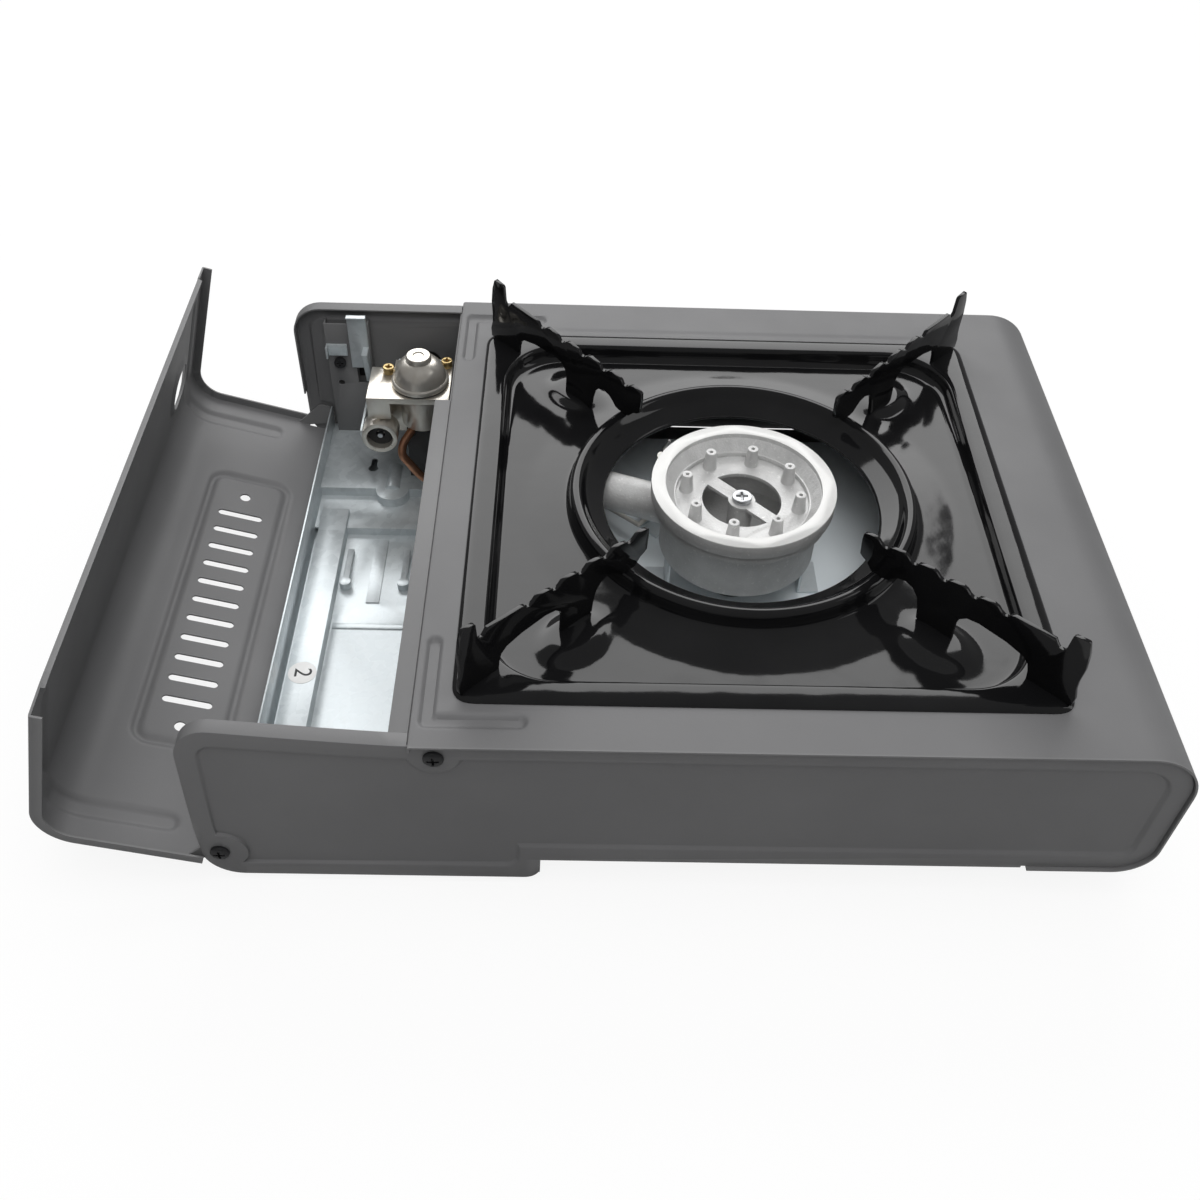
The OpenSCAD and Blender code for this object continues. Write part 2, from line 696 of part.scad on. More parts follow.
module connector_seal() stove() color([0.08, 0.08, 0.08]) {
    translate([can_x, cup_y + 3.5, can_z]) rotate([-90, 0, 0]) difference() {
        cylinder(h = 2.5, r = socket_r - 2.3);
        translate([0, 0, -1]) cylinder(h = 5, r = 2.2);
    }
}

module connector_pin() stove() color([0.8, 0.8, 0.8]) {
    translate([can_x, cup_y + 2, can_z]) rotate([-90, 0, 0]) cylinder(h = 10, r = 1.2);
}

// strap from the connector back to the lever's wedge
module shift_link() stove() color([0.7, 0.76, 0.78]) {
    x = can_x - socket_r;
    block([x - 1.2, cup_y + 3, can_z - link_h], [x, plate_y - slip - link_h * wedge_slope, can_z + link_h]);
}

module valve_stem() stove() color([0.75, 0.75, 0.75]) {
    translate([reg_x, 0, knob_z]) rotate([-90, 0, 0])
        translate([0, 0, valve_y + 5]) cylinder(h = front_face + 10 - valve_y - 5, r = stem_r);
}

module control_knob() stove() color([0.08, 0.08, 0.08]) {
    y0 = knob_face;
    translate([reg_x, y0, knob_z]) rotate([-90, 0, 0]) difference() {
        union() {
            cylinder(h = 4, r = knob_r);
            translate([0, 0, 4]) cylinder(h = knob_d - 4, r1 = knob_r - 1.5, r2 = knob_r - 3);
        }
        translate([0, 0, -1]) cylinder(h = front_face + 11 - y0, r = stem_r);
        // finger hollows that leave a grip bar
        for (s = [-1, 1]) translate([s * (knob_r + 5), 0, 7]) cylinder(h = knob_d, r = knob_r - 3);
    }
}

module knob_escutcheon() stove() color([0.8, 0.8, 0.8]) {
    translate([reg_x, front_face - recess, knob_z]) rotate([-90, 0, 0]) difference() {
        cylinder(h = 0.6, r = knob_r + 3);
        translate([0, 0, -1]) cylinder(h = 3, r = 6);
    }
}

// ---- cartridge lock ----

// painted bracket at the end of the bay, its slot open at the top
module lever_guide() stove() color([0.3, 0.31, 0.33]) {
    y0 = guide_y;
    low = 64 - lever_travel - 4;
    along_y(y0, y0 + sheet_t) difference() {
        translate([-lever_x - 16, deck_z]) square([21, 78 - deck_z]);
        translate([-lever_x - 2.6, low + 2]) square([5.2, 40]);
        translate([-lever_x - 10.3, 56.5]) circle(bolt_r);
        translate([-lever_x - 11, 44]) circle(1.5);
    }
    for (x = [-lever_x - 16, -lever_x + 5 - sheet_t])
        block([x, y0 + sheet_t, low + 4], [x + sheet_t, front_in, 78]);
}

// hook beside the lever's plate
module guide_hook() stove() color([0.72, 0.75, 0.78]) {
    block([-lever_x - 15, guide_y - 1, 60.5], [-lever_x - 6, guide_y, 67]);
    block([-lever_x - 16, guide_y - 4, 60.5], [-lever_x - 15, guide_y, 67]);
}

module guide_bolt() stove() color([0.1, 0.1, 0.1]) {
    translate([-lever_x - 10.3, guide_y, 56.5]) rotate([-90, 0, 0]) screw(bolt_r, 4, 2.8, 1.8);
}

// the wedge drives the connector on to the cartridge as the lever goes down
module lever_plate() stove() color([0.72, 0.75, 0.78]) {
    block([-lever_x - 4.6, plate_y, 54], [-lever_x + 4.6, plate_y + 1, 83.5]);
    block([-lever_x - 4.6, plate_y - 2, 82.7], [-lever_x + 4.6, plate_y, 83.5]);
    translate([-lever_x + 1.6, 0, 0]) rotate([90, 0, 90]) linear_extrude(3)
        polygon([[plate_y + 1, can_z], [plate_y + 1, can_z + lever_travel + link_h],
            [plate_y, can_z + lever_travel + link_h],
            [plate_y - socket_travel - link_h * wedge_slope, can_z + lever_travel + link_h],
            [plate_y, can_z]]);
}

module lock_lever() stove() color([0.08, 0.08, 0.08]) {
    y0 = plate_y + 1;
    y1 = knob_face;
    block([-lever_x - 2, y0, 64], [-lever_x + 2, y1, 70]);
    // shield over the slot in the panel
    block([-lever_x - 3.8, y1 - 0.7, 64 - lever_travel - 4], [-lever_x + 3.8, y1, 74]);
    block([-lever_x - 7, y1, 61], [-lever_x + 7, y1 + 3, 74]);
    translate([-lever_x, 0, 0]) rotate([90, 0, 90]) translate([0, 0, -6]) linear_extrude(12)
        polygon([[y1 + 3, 62], [y1 + 12, 64], [y1 + 12, 66], [y1 + 3, 72]]);
}

// ---- lid, drawn closed and turned about its pivot ----

module swing_open() {
    translate([pivot_x, 0, pivot_z]) rotate([0, -lid_open, 0]) translate([-pivot_x, 0, -pivot_z])
        children();
}

module lid_profile(t) {
    translate([lid_side, lid_low]) square([t, top_z - lid_r - lid_low]);
    translate([lid_side + lid_r, top_z - lid_r]) rotate(90) intersection() {
        difference() {
            circle(lid_r);
            circle(lid_r - t);
        }
        square(lid_r);
    }
    translate([lid_side + lid_r, top_z - t]) square([lid_edge - lid_side - lid_r, t]);
}

module lid() stove() color([0.36, 0.36, 0.36]) swing_open() {
    hole_y = (slot_count + 1) / 2 * slot_pitch + 1.3;
    vent_z = pivot_z + 26.5;
    difference() {
        union() {
            along_y(-rear_reach, front_reach) lid_profile(sheet_t);
            // turned-in edges at both ends
            along_y(-rear_reach, -rear_reach + sheet_t) lid_profile(4.5);
            along_y(front_reach - sheet_t, front_reach) lid_profile(4.5);
            // hem along the free edge
            block([lid_edge - sheet_t, -rear_reach + 10, top_z - 2.2],
                [lid_edge, front_reach - 10, top_z - sheet_t]);
            // ears inside the end panels
            for (y = [rear_face + sheet_t + slip, front_face - 2 * sheet_t - slip])
                along_y(y, y + sheet_t) {
                    translate([pivot_x, pivot_z]) circle(pivot_in - 1);
                    polygon([[lid_side + sheet_t, pivot_z + lid_notch], [lid_side + sheet_t, pivot_z + 14],
                        [pivot_x + 4, pivot_z + 4], [pivot_x - 4, pivot_z - 4]]);
                }
        }
        // the side wall is cut back where it swings past the end panels
        for (y = [-rear_reach - 1, front_in - slip])
            translate([lid_side - 1, y, lid_low - 1]) cube([sheet_t + 3.2, rear_in + rear_reach + slip + 1,
                pivot_z + lid_notch - lid_low + 1]);
        // vent slots and the two round holes
        for (i = [0 : slot_count - 1])
            translate([lid_side - 1, (i - (slot_count - 1) / 2) * slot_pitch, vent_z])
                rotate([90, 0, 90]) linear_extrude(3) rotate(90) slot(slot_l, slot_w);
        for (s = [-1, 1]) translate([lid_side - 1, s * hole_y, vent_z])
            rotate([0, 90, 0]) cylinder(h = 3, r = 2.4);
        // finger hole in the top
        translate([lid_side + 35, front_reach - 39, top_z - 2]) linear_extrude(4) rotate(90) slot(24, 18);
        // pivot bores
        translate([pivot_x, front_reach, pivot_z]) rotate([90, 0, 0])
            cylinder(h = rear_reach + front_reach, r = 1.75 + run_gap);
    }
}

module hinge_screws() stove() color([0.06, 0.06, 0.06]) {
    translate([pivot_x, rear_face, pivot_z]) rotate([-90, 0, 0]) screw(1.75, 5, 3.6, head_h);
    translate([pivot_x, front_face, pivot_z]) rotate([90, 0, 0]) screw(1.75, 5, 3.6, head_h);
}

module panel_screws() stove() color([0.06, 0.06, 0.06]) {
    for (p = [[rear_face, -90], [front_face, 90]])
        translate([seam_screw[0], p[0], seam_screw[1]]) rotate([p[1], 0, 0])
            screw(panel_screw_r, 7, 3.6, head_h);
}

module tray_screws() stove() color([0.7, 0.7, 0.72]) {
    at_tray_screws() translate([0, 0, 0.5]) screw(tray_screw_r, 2.4, 3, 1.2);
}

module feet() stove() color([0.1, 0.1, 0.1]) {
    for (s = [-1, 1]) {
        y = s > 0 ? front_reach - 32 : 31 - rear_reach;
        translate([right_reach - 33, y, 0]) cylinder(h = base_z, r1 = 8, r2 = 10);
        translate([53 - bay_reach, y, 0]) cylinder(h = bay_z, r1 = 8, r2 = 9);
    }
}

// ---- drip pan and supports ----

module pan_square(h, r) {
    rounded(-h, -h, h, h, [r, r, r, r]);
}

module drip_pan() stove() color([0.05, 0.05, 0.05]) {
    // rim with its turned-down edge
    translate([0, 0, rim_z - pan_t]) linear_extrude(pan_t) difference() {
        pan_square(pan_h, 8);
        pan_square(well_h - 2, well_r - 2);
    }
    translate([0, 0, top_z + seat]) linear_extrude(rim_h - pan_t - seat) difference() {
        pan_square(pan_h, 8);
        pan_square(pan_h - pan_t, 8 - pan_t);
    }
    // wall down to the field, and the field itself
    translate([0, 0, field_z - pan_t]) linear_extrude(field_d) difference() {
        pan_square(well_h - 1, well_r - 1);
        pan_square(well_h - 1 - pan_t, well_r - 1 - pan_t);
    }
    translate([0, 0, field_z - pan_t]) linear_extrude(pan_t) difference() {
        pan_square(well_h - 1 - pan_t, well_r - 1 - pan_t);
        circle(ring_r - pan_t);
    }
    // raised ring and the slope down to the burner opening
    rotate_extrude() polygon([
        [ring_r - pan_t, field_z - pan_t], [ring_r, field_z - pan_t], [ring_r, ring_z - 1.6],
        [ring_r - 0.5, ring_z - 0.5], [ring_r - 1.6, ring_z], [ring_r - 4.4, ring_z],
        [ring_r - 5.8, ring_z - 0.8], [mouth_r, rim_z - 3], [mouth_r, rim_z - 3 - pan_t],
        [mouth_r + 0.6, rim_z - 3 - pan_t], [ring_r - 5, ring_z - 1.6], [ring_r - 4.2, ring_z - pan_t],
        [ring_r - 1.8, ring_z - pan_t], [ring_r - pan_t, ring_z - 1.8]
    ]);
}

// top edge of a support, rising outwards, with notches that keep a pot from sliding
function saddle_top(r) = rim_z + support_h + (r - mouth_r) * 0.06;

function pot_notch(r) = [[r + 2.2, saddle_top(r)], [r, saddle_top(r) - 2], [r - 2.6, saddle_top(r) - 1.4],
    [r - 4.6, saddle_top(r) - 0.1]];

module pan_support(i) stove() color([0.05, 0.05, 0.05]) {
    out = pan_h * sqrt(2) - 2;
    tab = rim_z + tab_h;
    rotate(45 + 90 * i) rotate([90, 0, 0]) translate([0, 0, -fin_t / 2]) linear_extrude(fin_t)
        polygon(concat(
            // inner foot on the ring, first window, middle foot on the field
            [[mouth_r + 0.5, ring_z + 5], [mouth_r + 4, ring_z + 3], [ring_r - 6, ring_z],
             [ring_r - 0.6, ring_z], [ring_r + 5, ring_z + 2], [ring_r + 10, ring_z + 4], [ring_r + 15, ring_z + 1],
             [ring_r + 16.5, field_z], [ring_r + 32, field_z]],
            // second window and outer foot on the rim
            [[ring_r + 32, ring_z + 2], [ring_r + 36, ring_z + 6], [out - 33, ring_z + 6],
             [out - 21, ring_z + 4], [out - 20, rim_z], [out - 2, rim_z]],
            // outer edge and tab
            [[out - 1.6, rim_z + 4], [out - 3, rim_z + 10], [out - 2.4, tab - 12], [out - 4.6, tab],
             [out - 10.6, tab - 0.6], [out - 11.4, saddle_top(out) - 3], [out - 13.6, saddle_top(out) - 3.6],
             [out - 15.6, saddle_top(out) - 1]],
            [for (n = [0 : 4], p = pot_notch(ring_r + 48.5 - 12.6 * n)) p],
            [[mouth_r + 1.5, saddle_top(mouth_r)], [mouth_r, saddle_top(mouth_r) - 1]]
        ));
}

module pan_support_1() pan_support(0);
module pan_support_2() pan_support(1);
module pan_support_3() pan_support(2);
module pan_support_4() pan_support(3);

body_shell();
rear_panel();
front_panel();
bay_tray();
partition_wall();
tray_clips();
rail_sticker();
burner_tray();
burner_brackets();
burner_bowl();
mixing_tube();
air_shutter();
gas_jet();
burner_head();
burner_screw();
electrode_bracket();
electrode_ceramic();
electrode_rod();
ignition_wire();
piezo_igniter();
regulator_body();
regulator_dome();
regulator_spring();
regulator_diaphragm();
regulator_screws();
regulator_bracket();
valve_body();
gas_tube();
can_connector();
connector_seal();
connector_pin();
shift_link();
valve_stem();
control_knob();
knob_escutcheon();
lever_guide();
guide_hook();
guide_bolt();
lever_plate();
lock_lever();
lid();
hinge_screws();
panel_screws();
tray_screws();
feet();
drip_pan();
pan_support_1();
pan_support_2();
pan_support_3();
pan_support_4();
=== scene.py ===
import math
import bmesh
import bpy
from mathutils import Euler, Matrix, Vector


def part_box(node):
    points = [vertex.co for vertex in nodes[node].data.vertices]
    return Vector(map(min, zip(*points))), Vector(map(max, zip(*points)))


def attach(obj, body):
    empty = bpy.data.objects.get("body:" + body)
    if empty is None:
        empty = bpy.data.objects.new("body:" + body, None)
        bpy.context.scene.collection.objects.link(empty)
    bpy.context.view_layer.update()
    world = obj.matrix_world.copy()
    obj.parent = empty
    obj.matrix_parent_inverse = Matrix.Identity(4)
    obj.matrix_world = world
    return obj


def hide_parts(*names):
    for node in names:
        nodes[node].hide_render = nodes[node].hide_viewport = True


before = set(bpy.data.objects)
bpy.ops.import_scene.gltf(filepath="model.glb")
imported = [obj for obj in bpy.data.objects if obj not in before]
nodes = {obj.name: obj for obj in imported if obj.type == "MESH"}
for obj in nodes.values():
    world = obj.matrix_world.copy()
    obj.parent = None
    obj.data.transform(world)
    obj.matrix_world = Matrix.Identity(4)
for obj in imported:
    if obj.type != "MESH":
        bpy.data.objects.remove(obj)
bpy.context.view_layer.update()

panLow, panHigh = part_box("drip_pan")
burnerAxis = (panLow + panHigh) / 2
mm = 0.001


def at(x, y, z):
    # millimetres from the burner axis and the table to scene metres
    return Vector((burnerAxis.x + x * mm, burnerAxis.y + y * mm, z * mm))


def linked(name, data):
    # a new object in the scene's collection
    made = bpy.data.objects.new(name, data)
    bpy.context.collection.objects.link(made)
    return made


print("frame loaded")

cameraValues = {
    "place": (-68.39, -383.65, 427.86),
    "turn": (0.76030, -0.03043, -0.00164),
    "lens": 38.168,
}
cameraData = bpy.data.cameras.new("camera")
cameraData.lens = cameraValues["lens"]
cameraData.sensor_width = 36
cameraData.clip_start = 0.01
camera = linked("camera", cameraData)
camera.location = at(*cameraValues["place"])
camera.rotation_euler = Euler(cameraValues["turn"], "XYZ")
bpy.context.scene.camera = camera


class Tree:
    # short hand for wiring one node material
    def __init__(self, name):
        self.mat = bpy.data.materials.new(name)
        self.mat.use_nodes = True
        self.nt = self.mat.node_tree
        self.shader = self.nt.nodes["Principled BSDF"]
        self.coords = self.nt.nodes.new("ShaderNodeTexCoord").outputs["Object"]

    def add(self, kind, inputs=(), **settings):
        node = self.nt.nodes.new(kind)
        for key, value in settings.items():
            setattr(node, key, value)
        for key, value in dict(inputs).items():
            self.put(node.inputs[key], value)
        return node

    def put(self, socket, value):
        if isinstance(value, bpy.types.NodeSocket):
            self.nt.links.new(value, socket)
        else:
            socket.default_value = value

    def stretch(self, scale):
        return self.add("ShaderNodeMapping", {"Vector": self.coords, "Scale": scale}).outputs[0]

    def noise(self, scale, detail=3, rough=0.5, vector=None):
        return self.add("ShaderNodeTexNoise", {"Vector": vector or self.coords, "Scale": scale,
                                               "Detail": detail, "Roughness": rough}).outputs["Fac"]

    def cells(self, scale, out="Distance"):
        return self.add("ShaderNodeTexVoronoi", {"Vector": self.coords, "Scale": scale}).outputs[out]

    def ramp(self, fac, stops):
        node = self.add("ShaderNodeValToRGB", {"Fac": fac})
        elements = node.color_ramp.elements
        while len(elements) < len(stops):
            elements.new(0.5)
        for element, (place, colour) in zip(elements, stops):
            element.position = place
            element.color = (*colour, 1)
        return node.outputs["Color"]

    def between(self, fac, low, high):
        return self.add("ShaderNodeMapRange", {"Value": fac, "To Min": low, "To Max": high}).outputs[0]

    def step(self, value, start, end):
        return self.add("ShaderNodeMapRange", {"Value": value, "From Min": start, "From Max": end},
                        interpolation_type="SMOOTHSTEP").outputs[0]

    def math(self, how, a, b=0.0):
        node = self.add("ShaderNodeMath", operation=how)
        self.put(node.inputs[0], a)
        self.put(node.inputs[1], b)
        return node.outputs[0]

    def mix(self, fac, a, b):
        node = self.add("ShaderNodeMix", data_type="RGBA")
        self.put(node.inputs["Factor"], fac)
        self.put(node.inputs[6], (*a, 1) if isinstance(a, tuple) and len(a) == 3 else a)
        self.put(node.inputs[7], (*b, 1) if isinstance(b, tuple) and len(b) == 3 else b)
        return node.outputs[2]

    def edges(self, start=0.52, end=0.6):
        point = self.add("ShaderNodeNewGeometry").outputs["Pointiness"]
        return self.step(point, start, end)

    def axes(self):
        return self.add("ShaderNodeSeparateXYZ", {"Vector": self.coords}).outputs

    def bump(self, height, strength=0.2, distance=0.0004):
        node = self.add("ShaderNodeBump", {"Height": height, "Strength": strength, "Distance": distance})
        self.put(self.shader.inputs["Normal"], node.outputs[0])

    def finish(self, colour, roughness, **fixed):
        self.put(self.shader.inputs["Base Color"], colour)
        self.put(self.shader.inputs["Roughness"], roughness)
        for key, value in fixed.items():
            self.shader.inputs[key.replace("_", " ")].default_value = value
        return self.mat


def powderCoat():
    t = Tree("powderCoat")
    broad = t.noise(14, 3)
    grain = t.noise(1300, 2)
    colour = t.ramp(broad, [(0.3, (0.150, 0.150, 0.153)), (0.7, (0.172, 0.172, 0.175))])
    specks = t.step(t.cells(520), 0.045, 0.02)
    dusty = t.mix(t.math("MULTIPLY", specks, 0.25), colour, (0.26, 0.26, 0.26))
    worn = t.mix(t.math("MULTIPLY", t.edges(), 0.30), dusty, (0.27, 0.27, 0.27))
    t.bump(t.math("ADD", grain, t.math("MULTIPLY", t.noise(420, 2), 0.7)), 0.16, 0.0002)
    return t.finish(worn, t.between(t.noise(60, 4), 0.42, 0.54), Specular_IOR_Level=0.45)


def zincSheet():
    t = Tree("zincSheet")
    spangle = t.cells(330, out="Color")
    grey = t.add("ShaderNodeRGBToBW", {"Color": spangle}).outputs[0]
    colour = t.ramp(grey, [(0.2, (0.64, 0.69, 0.71)), (0.8, (0.72, 0.77, 0.79))])
    stain = t.step(t.noise(30, 5, 0.6), 0.55, 0.75)
    colour = t.mix(t.math("MULTIPLY", stain, 0.22), colour, (0.46, 0.50, 0.52))
    drawn = t.noise(1, 4, 0.6, t.stretch((900, 26, 900)))
    t.bump(t.math("ADD", drawn, t.math("MULTIPLY", grey, 0.3)), 0.10, 0.0002)
    rough = t.math("ADD", t.between(grey, 0.30, 0.40), t.math("MULTIPLY", stain, 0.10))
    # painted light: the tray under the burner gets a paler, less metallic colour, which stands in for the
    # bright reflection of the lamps that it shows
    x, _, z = t.axes()
    plate = t.math("MULTIPLY", t.step(z, 0.0385, 0.0395), t.step(z, 0.0425, 0.0415))
    plate = t.math("MULTIPLY", plate, t.step(x, burnerAxis.x - 0.115, burnerAxis.x - 0.11))
    # painted reflection: pale colour on the tray under the burner
    colour = t.mix(plate, colour, (0.84, 0.90, 0.93))
    t.put(t.shader.inputs["Metallic"], t.between(plate, 0.62, 0.1))
    return t.finish(colour, rough)


def blackEnamel():
    t = Tree("blackEnamel")
    wave = t.noise(46, 2, 0.4)
    peel = t.noise(420, 2)
    pits = t.step(t.cells(300), 0.05, 0.02)
    colour = t.mix(t.math("MULTIPLY", t.edges(0.54, 0.64), 0.10),
                   t.ramp(t.noise(30, 4), [(0.3, (0.0045, 0.0045, 0.005)), (0.7, (0.008, 0.008, 0.0085))]),
                   (0.05, 0.05, 0.05))
    height = t.math("ADD", t.math("MULTIPLY", wave, 2.0), t.math("MULTIPLY", peel, 0.05))
    t.bump(t.math("SUBTRACT", height, t.math("MULTIPLY", pits, 0.04)), 0.22, 0.0006)
    return t.finish(colour, t.between(t.noise(90, 4), 0.05, 0.11), IOR=1.56)


def castAluminium():
    t = Tree("castAluminium")
    x, y, z = t.axes()
    dx = t.math("SUBTRACT", x, burnerAxis.x)
    dy = t.math("SUBTRACT", y, burnerAxis.y)
    radius = t.math("SQRT", t.math("ADD", t.math("MULTIPLY", dx, dx), t.math("MULTIPLY", dy, dy)))
    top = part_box("burner_head")[1].z
    faced = t.math("MULTIPLY", t.step(z, top - 0.0005, top - 0.0002), t.step(radius, 0.0300, 0.0312))
    rings = t.math("SINE", t.math("MULTIPLY", radius, 9000.0))
    sand = t.noise(950, 3, 0.6)
    colour = t.ramp(t.noise(120, 4), [(0.3, (0.60, 0.60, 0.595)), (0.7, (0.70, 0.70, 0.695))])
    colour = t.mix(t.step(t.noise(700, 2), 0.60, 0.75), colour, (0.78, 0.78, 0.77))
    colour = t.mix(faced, colour, (0.66, 0.66, 0.65))
    rough = t.math("SUBTRACT", t.between(sand, 0.42, 0.58), t.math("MULTIPLY", faced, 0.08))
    plain = t.math("SUBTRACT", 1.0, faced)
    height = t.math("ADD", t.math("MULTIPLY", sand, plain),
                    t.math("MULTIPLY", t.math("MULTIPLY", rings, 0.04), faced))
    t.bump(height, 0.45, 0.0004)
    return t.finish(colour, rough, Metallic=0.5)


def nickelPlate():
    t = Tree("nickelPlate")
    haze = t.noise(110, 4, 0.6)
    colour = t.ramp(haze, [(0.3, (0.76, 0.71, 0.63)), (0.7, (0.88, 0.85, 0.79))])
    tarnish = t.step(t.noise(60, 5, 0.6), 0.58, 0.74)
    colour = t.mix(t.math("MULTIPLY", tarnish, 0.3), colour, (0.50, 0.42, 0.31))
    t.bump(t.noise(700, 3), 0.12, 0.0003)
    return t.finish(colour, t.between(haze, 0.22, 0.38), Metallic=0.88)


def softMetal(name, light, dark, metallic=0.95, rough=(0.22, 0.36)):
    t = Tree(name)
    haze = t.noise(160, 4, 0.6)
    colour = t.ramp(haze, [(0.3, dark), (0.7, light)])
    lines = t.noise(1, 3, 0.5, t.stretch((1500, 120, 1500)))
    t.bump(lines, 0.10, 0.0002)
    return t.finish(colour, t.between(haze, *rough), Metallic=metallic)


def mouldedPlastic(name, light, dark, rough=(0.36, 0.5)):
    t = Tree(name)
    haze = t.noise(90, 4)
    colour = t.ramp(haze, [(0.3, dark), (0.7, light)])
    colour = t.mix(t.math("MULTIPLY", t.edges(), 0.2), colour, tuple(min(1.0, 2.2 * c + 0.02) for c in light))
    t.bump(t.noise(1800, 2), 0.12, 0.0002)
    return t.finish(colour, t.between(t.noise(300, 3), *rough))


finishes = {
    "paint": powderCoat(),
    "zinc": zincSheet(),
    "enamel": blackEnamel(),
    "casting": castAluminium(),
    "nickel": nickelPlate(),
    "brass": softMetal("turnedBrass", (0.72, 0.55, 0.28), (0.52, 0.38, 0.17)),
    "copper": softMetal("drawnCopper", (0.72, 0.38, 0.24), (0.46, 0.22, 0.13), rough=(0.24, 0.42)),
    "bolt": softMetal("zincBolt", (0.66, 0.67, 0.68), (0.50, 0.51, 0.53)),
    "blackBolt": softMetal("blackBolt", (0.030, 0.030, 0.032), (0.014, 0.014, 0.015), 0.3, (0.28, 0.42)),
    "steel": softMetal("springSteel", (0.55, 0.55, 0.55), (0.38, 0.37, 0.36)),
    "blackPlastic": mouldedPlastic("blackPlastic", (0.030, 0.030, 0.031), (0.018, 0.018, 0.019)),
    "rubber": mouldedPlastic("mouldedRubber", (0.032, 0.032, 0.032), (0.018, 0.018, 0.018), (0.6, 0.8)),
    "ceramic": mouldedPlastic("glazedCeramic", (0.80, 0.78, 0.73), (0.68, 0.66, 0.60), (0.14, 0.24)),
    "sleeve": mouldedPlastic("siliconeSleeve", (0.72, 0.70, 0.64), (0.58, 0.56, 0.50), (0.45, 0.6)),
    "label": mouldedPlastic("paperLabel", (0.86, 0.86, 0.85), (0.78, 0.78, 0.77), (0.5, 0.6)),
    "ink": mouldedPlastic("labelInk", (0.030, 0.030, 0.033), (0.018, 0.018, 0.02), (0.5, 0.6)),
}
print("materials made")


def newPiece(name, bm, finish, smoothAngle=38):
    mesh = bpy.data.meshes.new(name)
    bm.to_mesh(mesh)
    bm.free()
    mesh.materials.append(finishes[finish])
    mesh.shade_smooth()
    mesh.set_sharp_from_angle(angle=math.radians(smoothAngle))
    return linked(name, mesh)


def settle(piece, smoothAngle=None):
    # turns what the modifiers make into the piece's plain mesh
    depsgraph = bpy.context.evaluated_depsgraph_get()
    mesh = bpy.data.meshes.new_from_object(piece.evaluated_get(depsgraph))
    piece.modifiers.clear()
    piece.data = mesh
    if smoothAngle:
        mesh.shade_smooth()
        mesh.set_sharp_from_angle(angle=math.radians(smoothAngle))
    return piece


def thicken(piece, thickness):
    wall = piece.modifiers.new("wall", "SOLIDIFY")
    wall.thickness = thickness
    wall.offset = -1
    wall.use_even_offset = True


def roundEdges(piece, width, segments=2, angle=40):
    edge = piece.modifiers.new("edges", "BEVEL")
    edge.width = width
    edge.segments = segments
    edge.limit_method = "ANGLE"
    edge.angle_limit = math.radians(angle)
    return edge


def grid(bm, rows):
    # quads between rows of points, returned as a table of vertices
    table = [[bm.verts.new(p) for p in row] for row in rows]
    for a, b in zip(table, table[1:]):
        for i in range(len(a) - 1):
            bm.faces.new((a[i], a[i + 1], b[i + 1], b[i]))
    return table


def ringGrid(bm, rows):
    # as grid, with each row closed on itself
    table = [[bm.verts.new(p) for p in row] for row in rows]
    for a, b in zip(table, table[1:]):
        for i in range(len(a)):
            j = (i + 1) % len(a)
            bm.faces.new((a[i], a[j], b[j], b[i]))
    return table


def prism(bm, outline, low, high):
    # solid between two copies of the outline, moved by low and by high
    n = len(outline)
    under = [bm.verts.new(p + low) for p in outline]
    over = [bm.verts.new(p + high) for p in outline]
    bm.faces.new(under[::-1])
    bm.faces.new(over)
    for i in range(n):
        j = (i + 1) % n
        bm.faces.new((under[i], under[j], over[j], over[i]))


def solid(name, outline, low, high, finish, smoothAngle=38):
    # a piece that is one prism
    bm = bmesh.new()
    prism(bm, outline, Vector(low), Vector(high))
    outward(bm)
    return newPiece(name, bm, finish, smoothAngle)


def around(count):
    return [2 * math.pi * i / count for i in range(count)]


def lathe(name, middle, axis, profile, steps, finish, smoothAngle=38):
    # profile of (radius, height) pairs turned round an axis through middle
    bm = bmesh.new()
    turn = Vector((0, 0, 1)).rotation_difference(Vector(axis)).to_matrix()
    rows = [[middle + turn @ Vector((radius * math.cos(a), radius * math.sin(a), height))
             for a in around(steps)] for radius, height in profile]
    table = ringGrid(bm, rows)
    for row, flip in ((table[0], True), (table[-1], False)):
        if (row[0].co - row[steps // 2].co).length > 1e-5:
            bm.faces.new(row[::-1] if flip else row)
    bmesh.ops.remove_doubles(bm, verts=bm.verts[:], dist=1e-6)
    outward(bm)
    return newPiece(name, bm, finish, smoothAngle)


def longHole(half, radius, steps):
    # points round a slot with round ends, as (across, along) pairs
    return arc(0, half, radius, 0, 180, steps) + arc(0, -half, radius, 180, 360, steps)


def arc(cx, cz, r, start, end, count):
    return [(cx + r * math.cos(math.radians(start + (end - start) * i / count)),
             cz + r * math.sin(math.radians(start + (end - start) * i / count))) for i in range(count + 1)]


def spread(stops):
    # values from a list of (start, step) pairs, the last one closing the list
    values = []
    for (start, step), (end, _) in zip(stops, stops[1:]):
        count = max(1, round((end - start) / step))
        values += [start + (end - start) * i / count for i in range(count)]
    return values + [stops[-1][0]]


def smooth(value, start, end):
    t = min(1.0, max(0.0, (value - start) / (end - start)))
    return t * t * (3 - 2 * t)


def pressed(distance, half, soft):
    # 1 on the middle of a pressed bead, 0 outside it
    return 1 - smooth(distance, half - soft, half + soft)


def toPath(px, py, points):
    # distance from a point to a chain of straight runs
    best = 1e9
    for (ax, ay), (bx, by) in zip(points, points[1:]):
        vx, vy = bx - ax, by - ay
        length = vx * vx + vy * vy
        t = 0 if length == 0 else min(1, max(0, ((px - ax) * vx + (py - ay) * vy) / length))
        best = min(best, math.hypot(px - ax - t * vx, py - ay - t * vy))
    return best


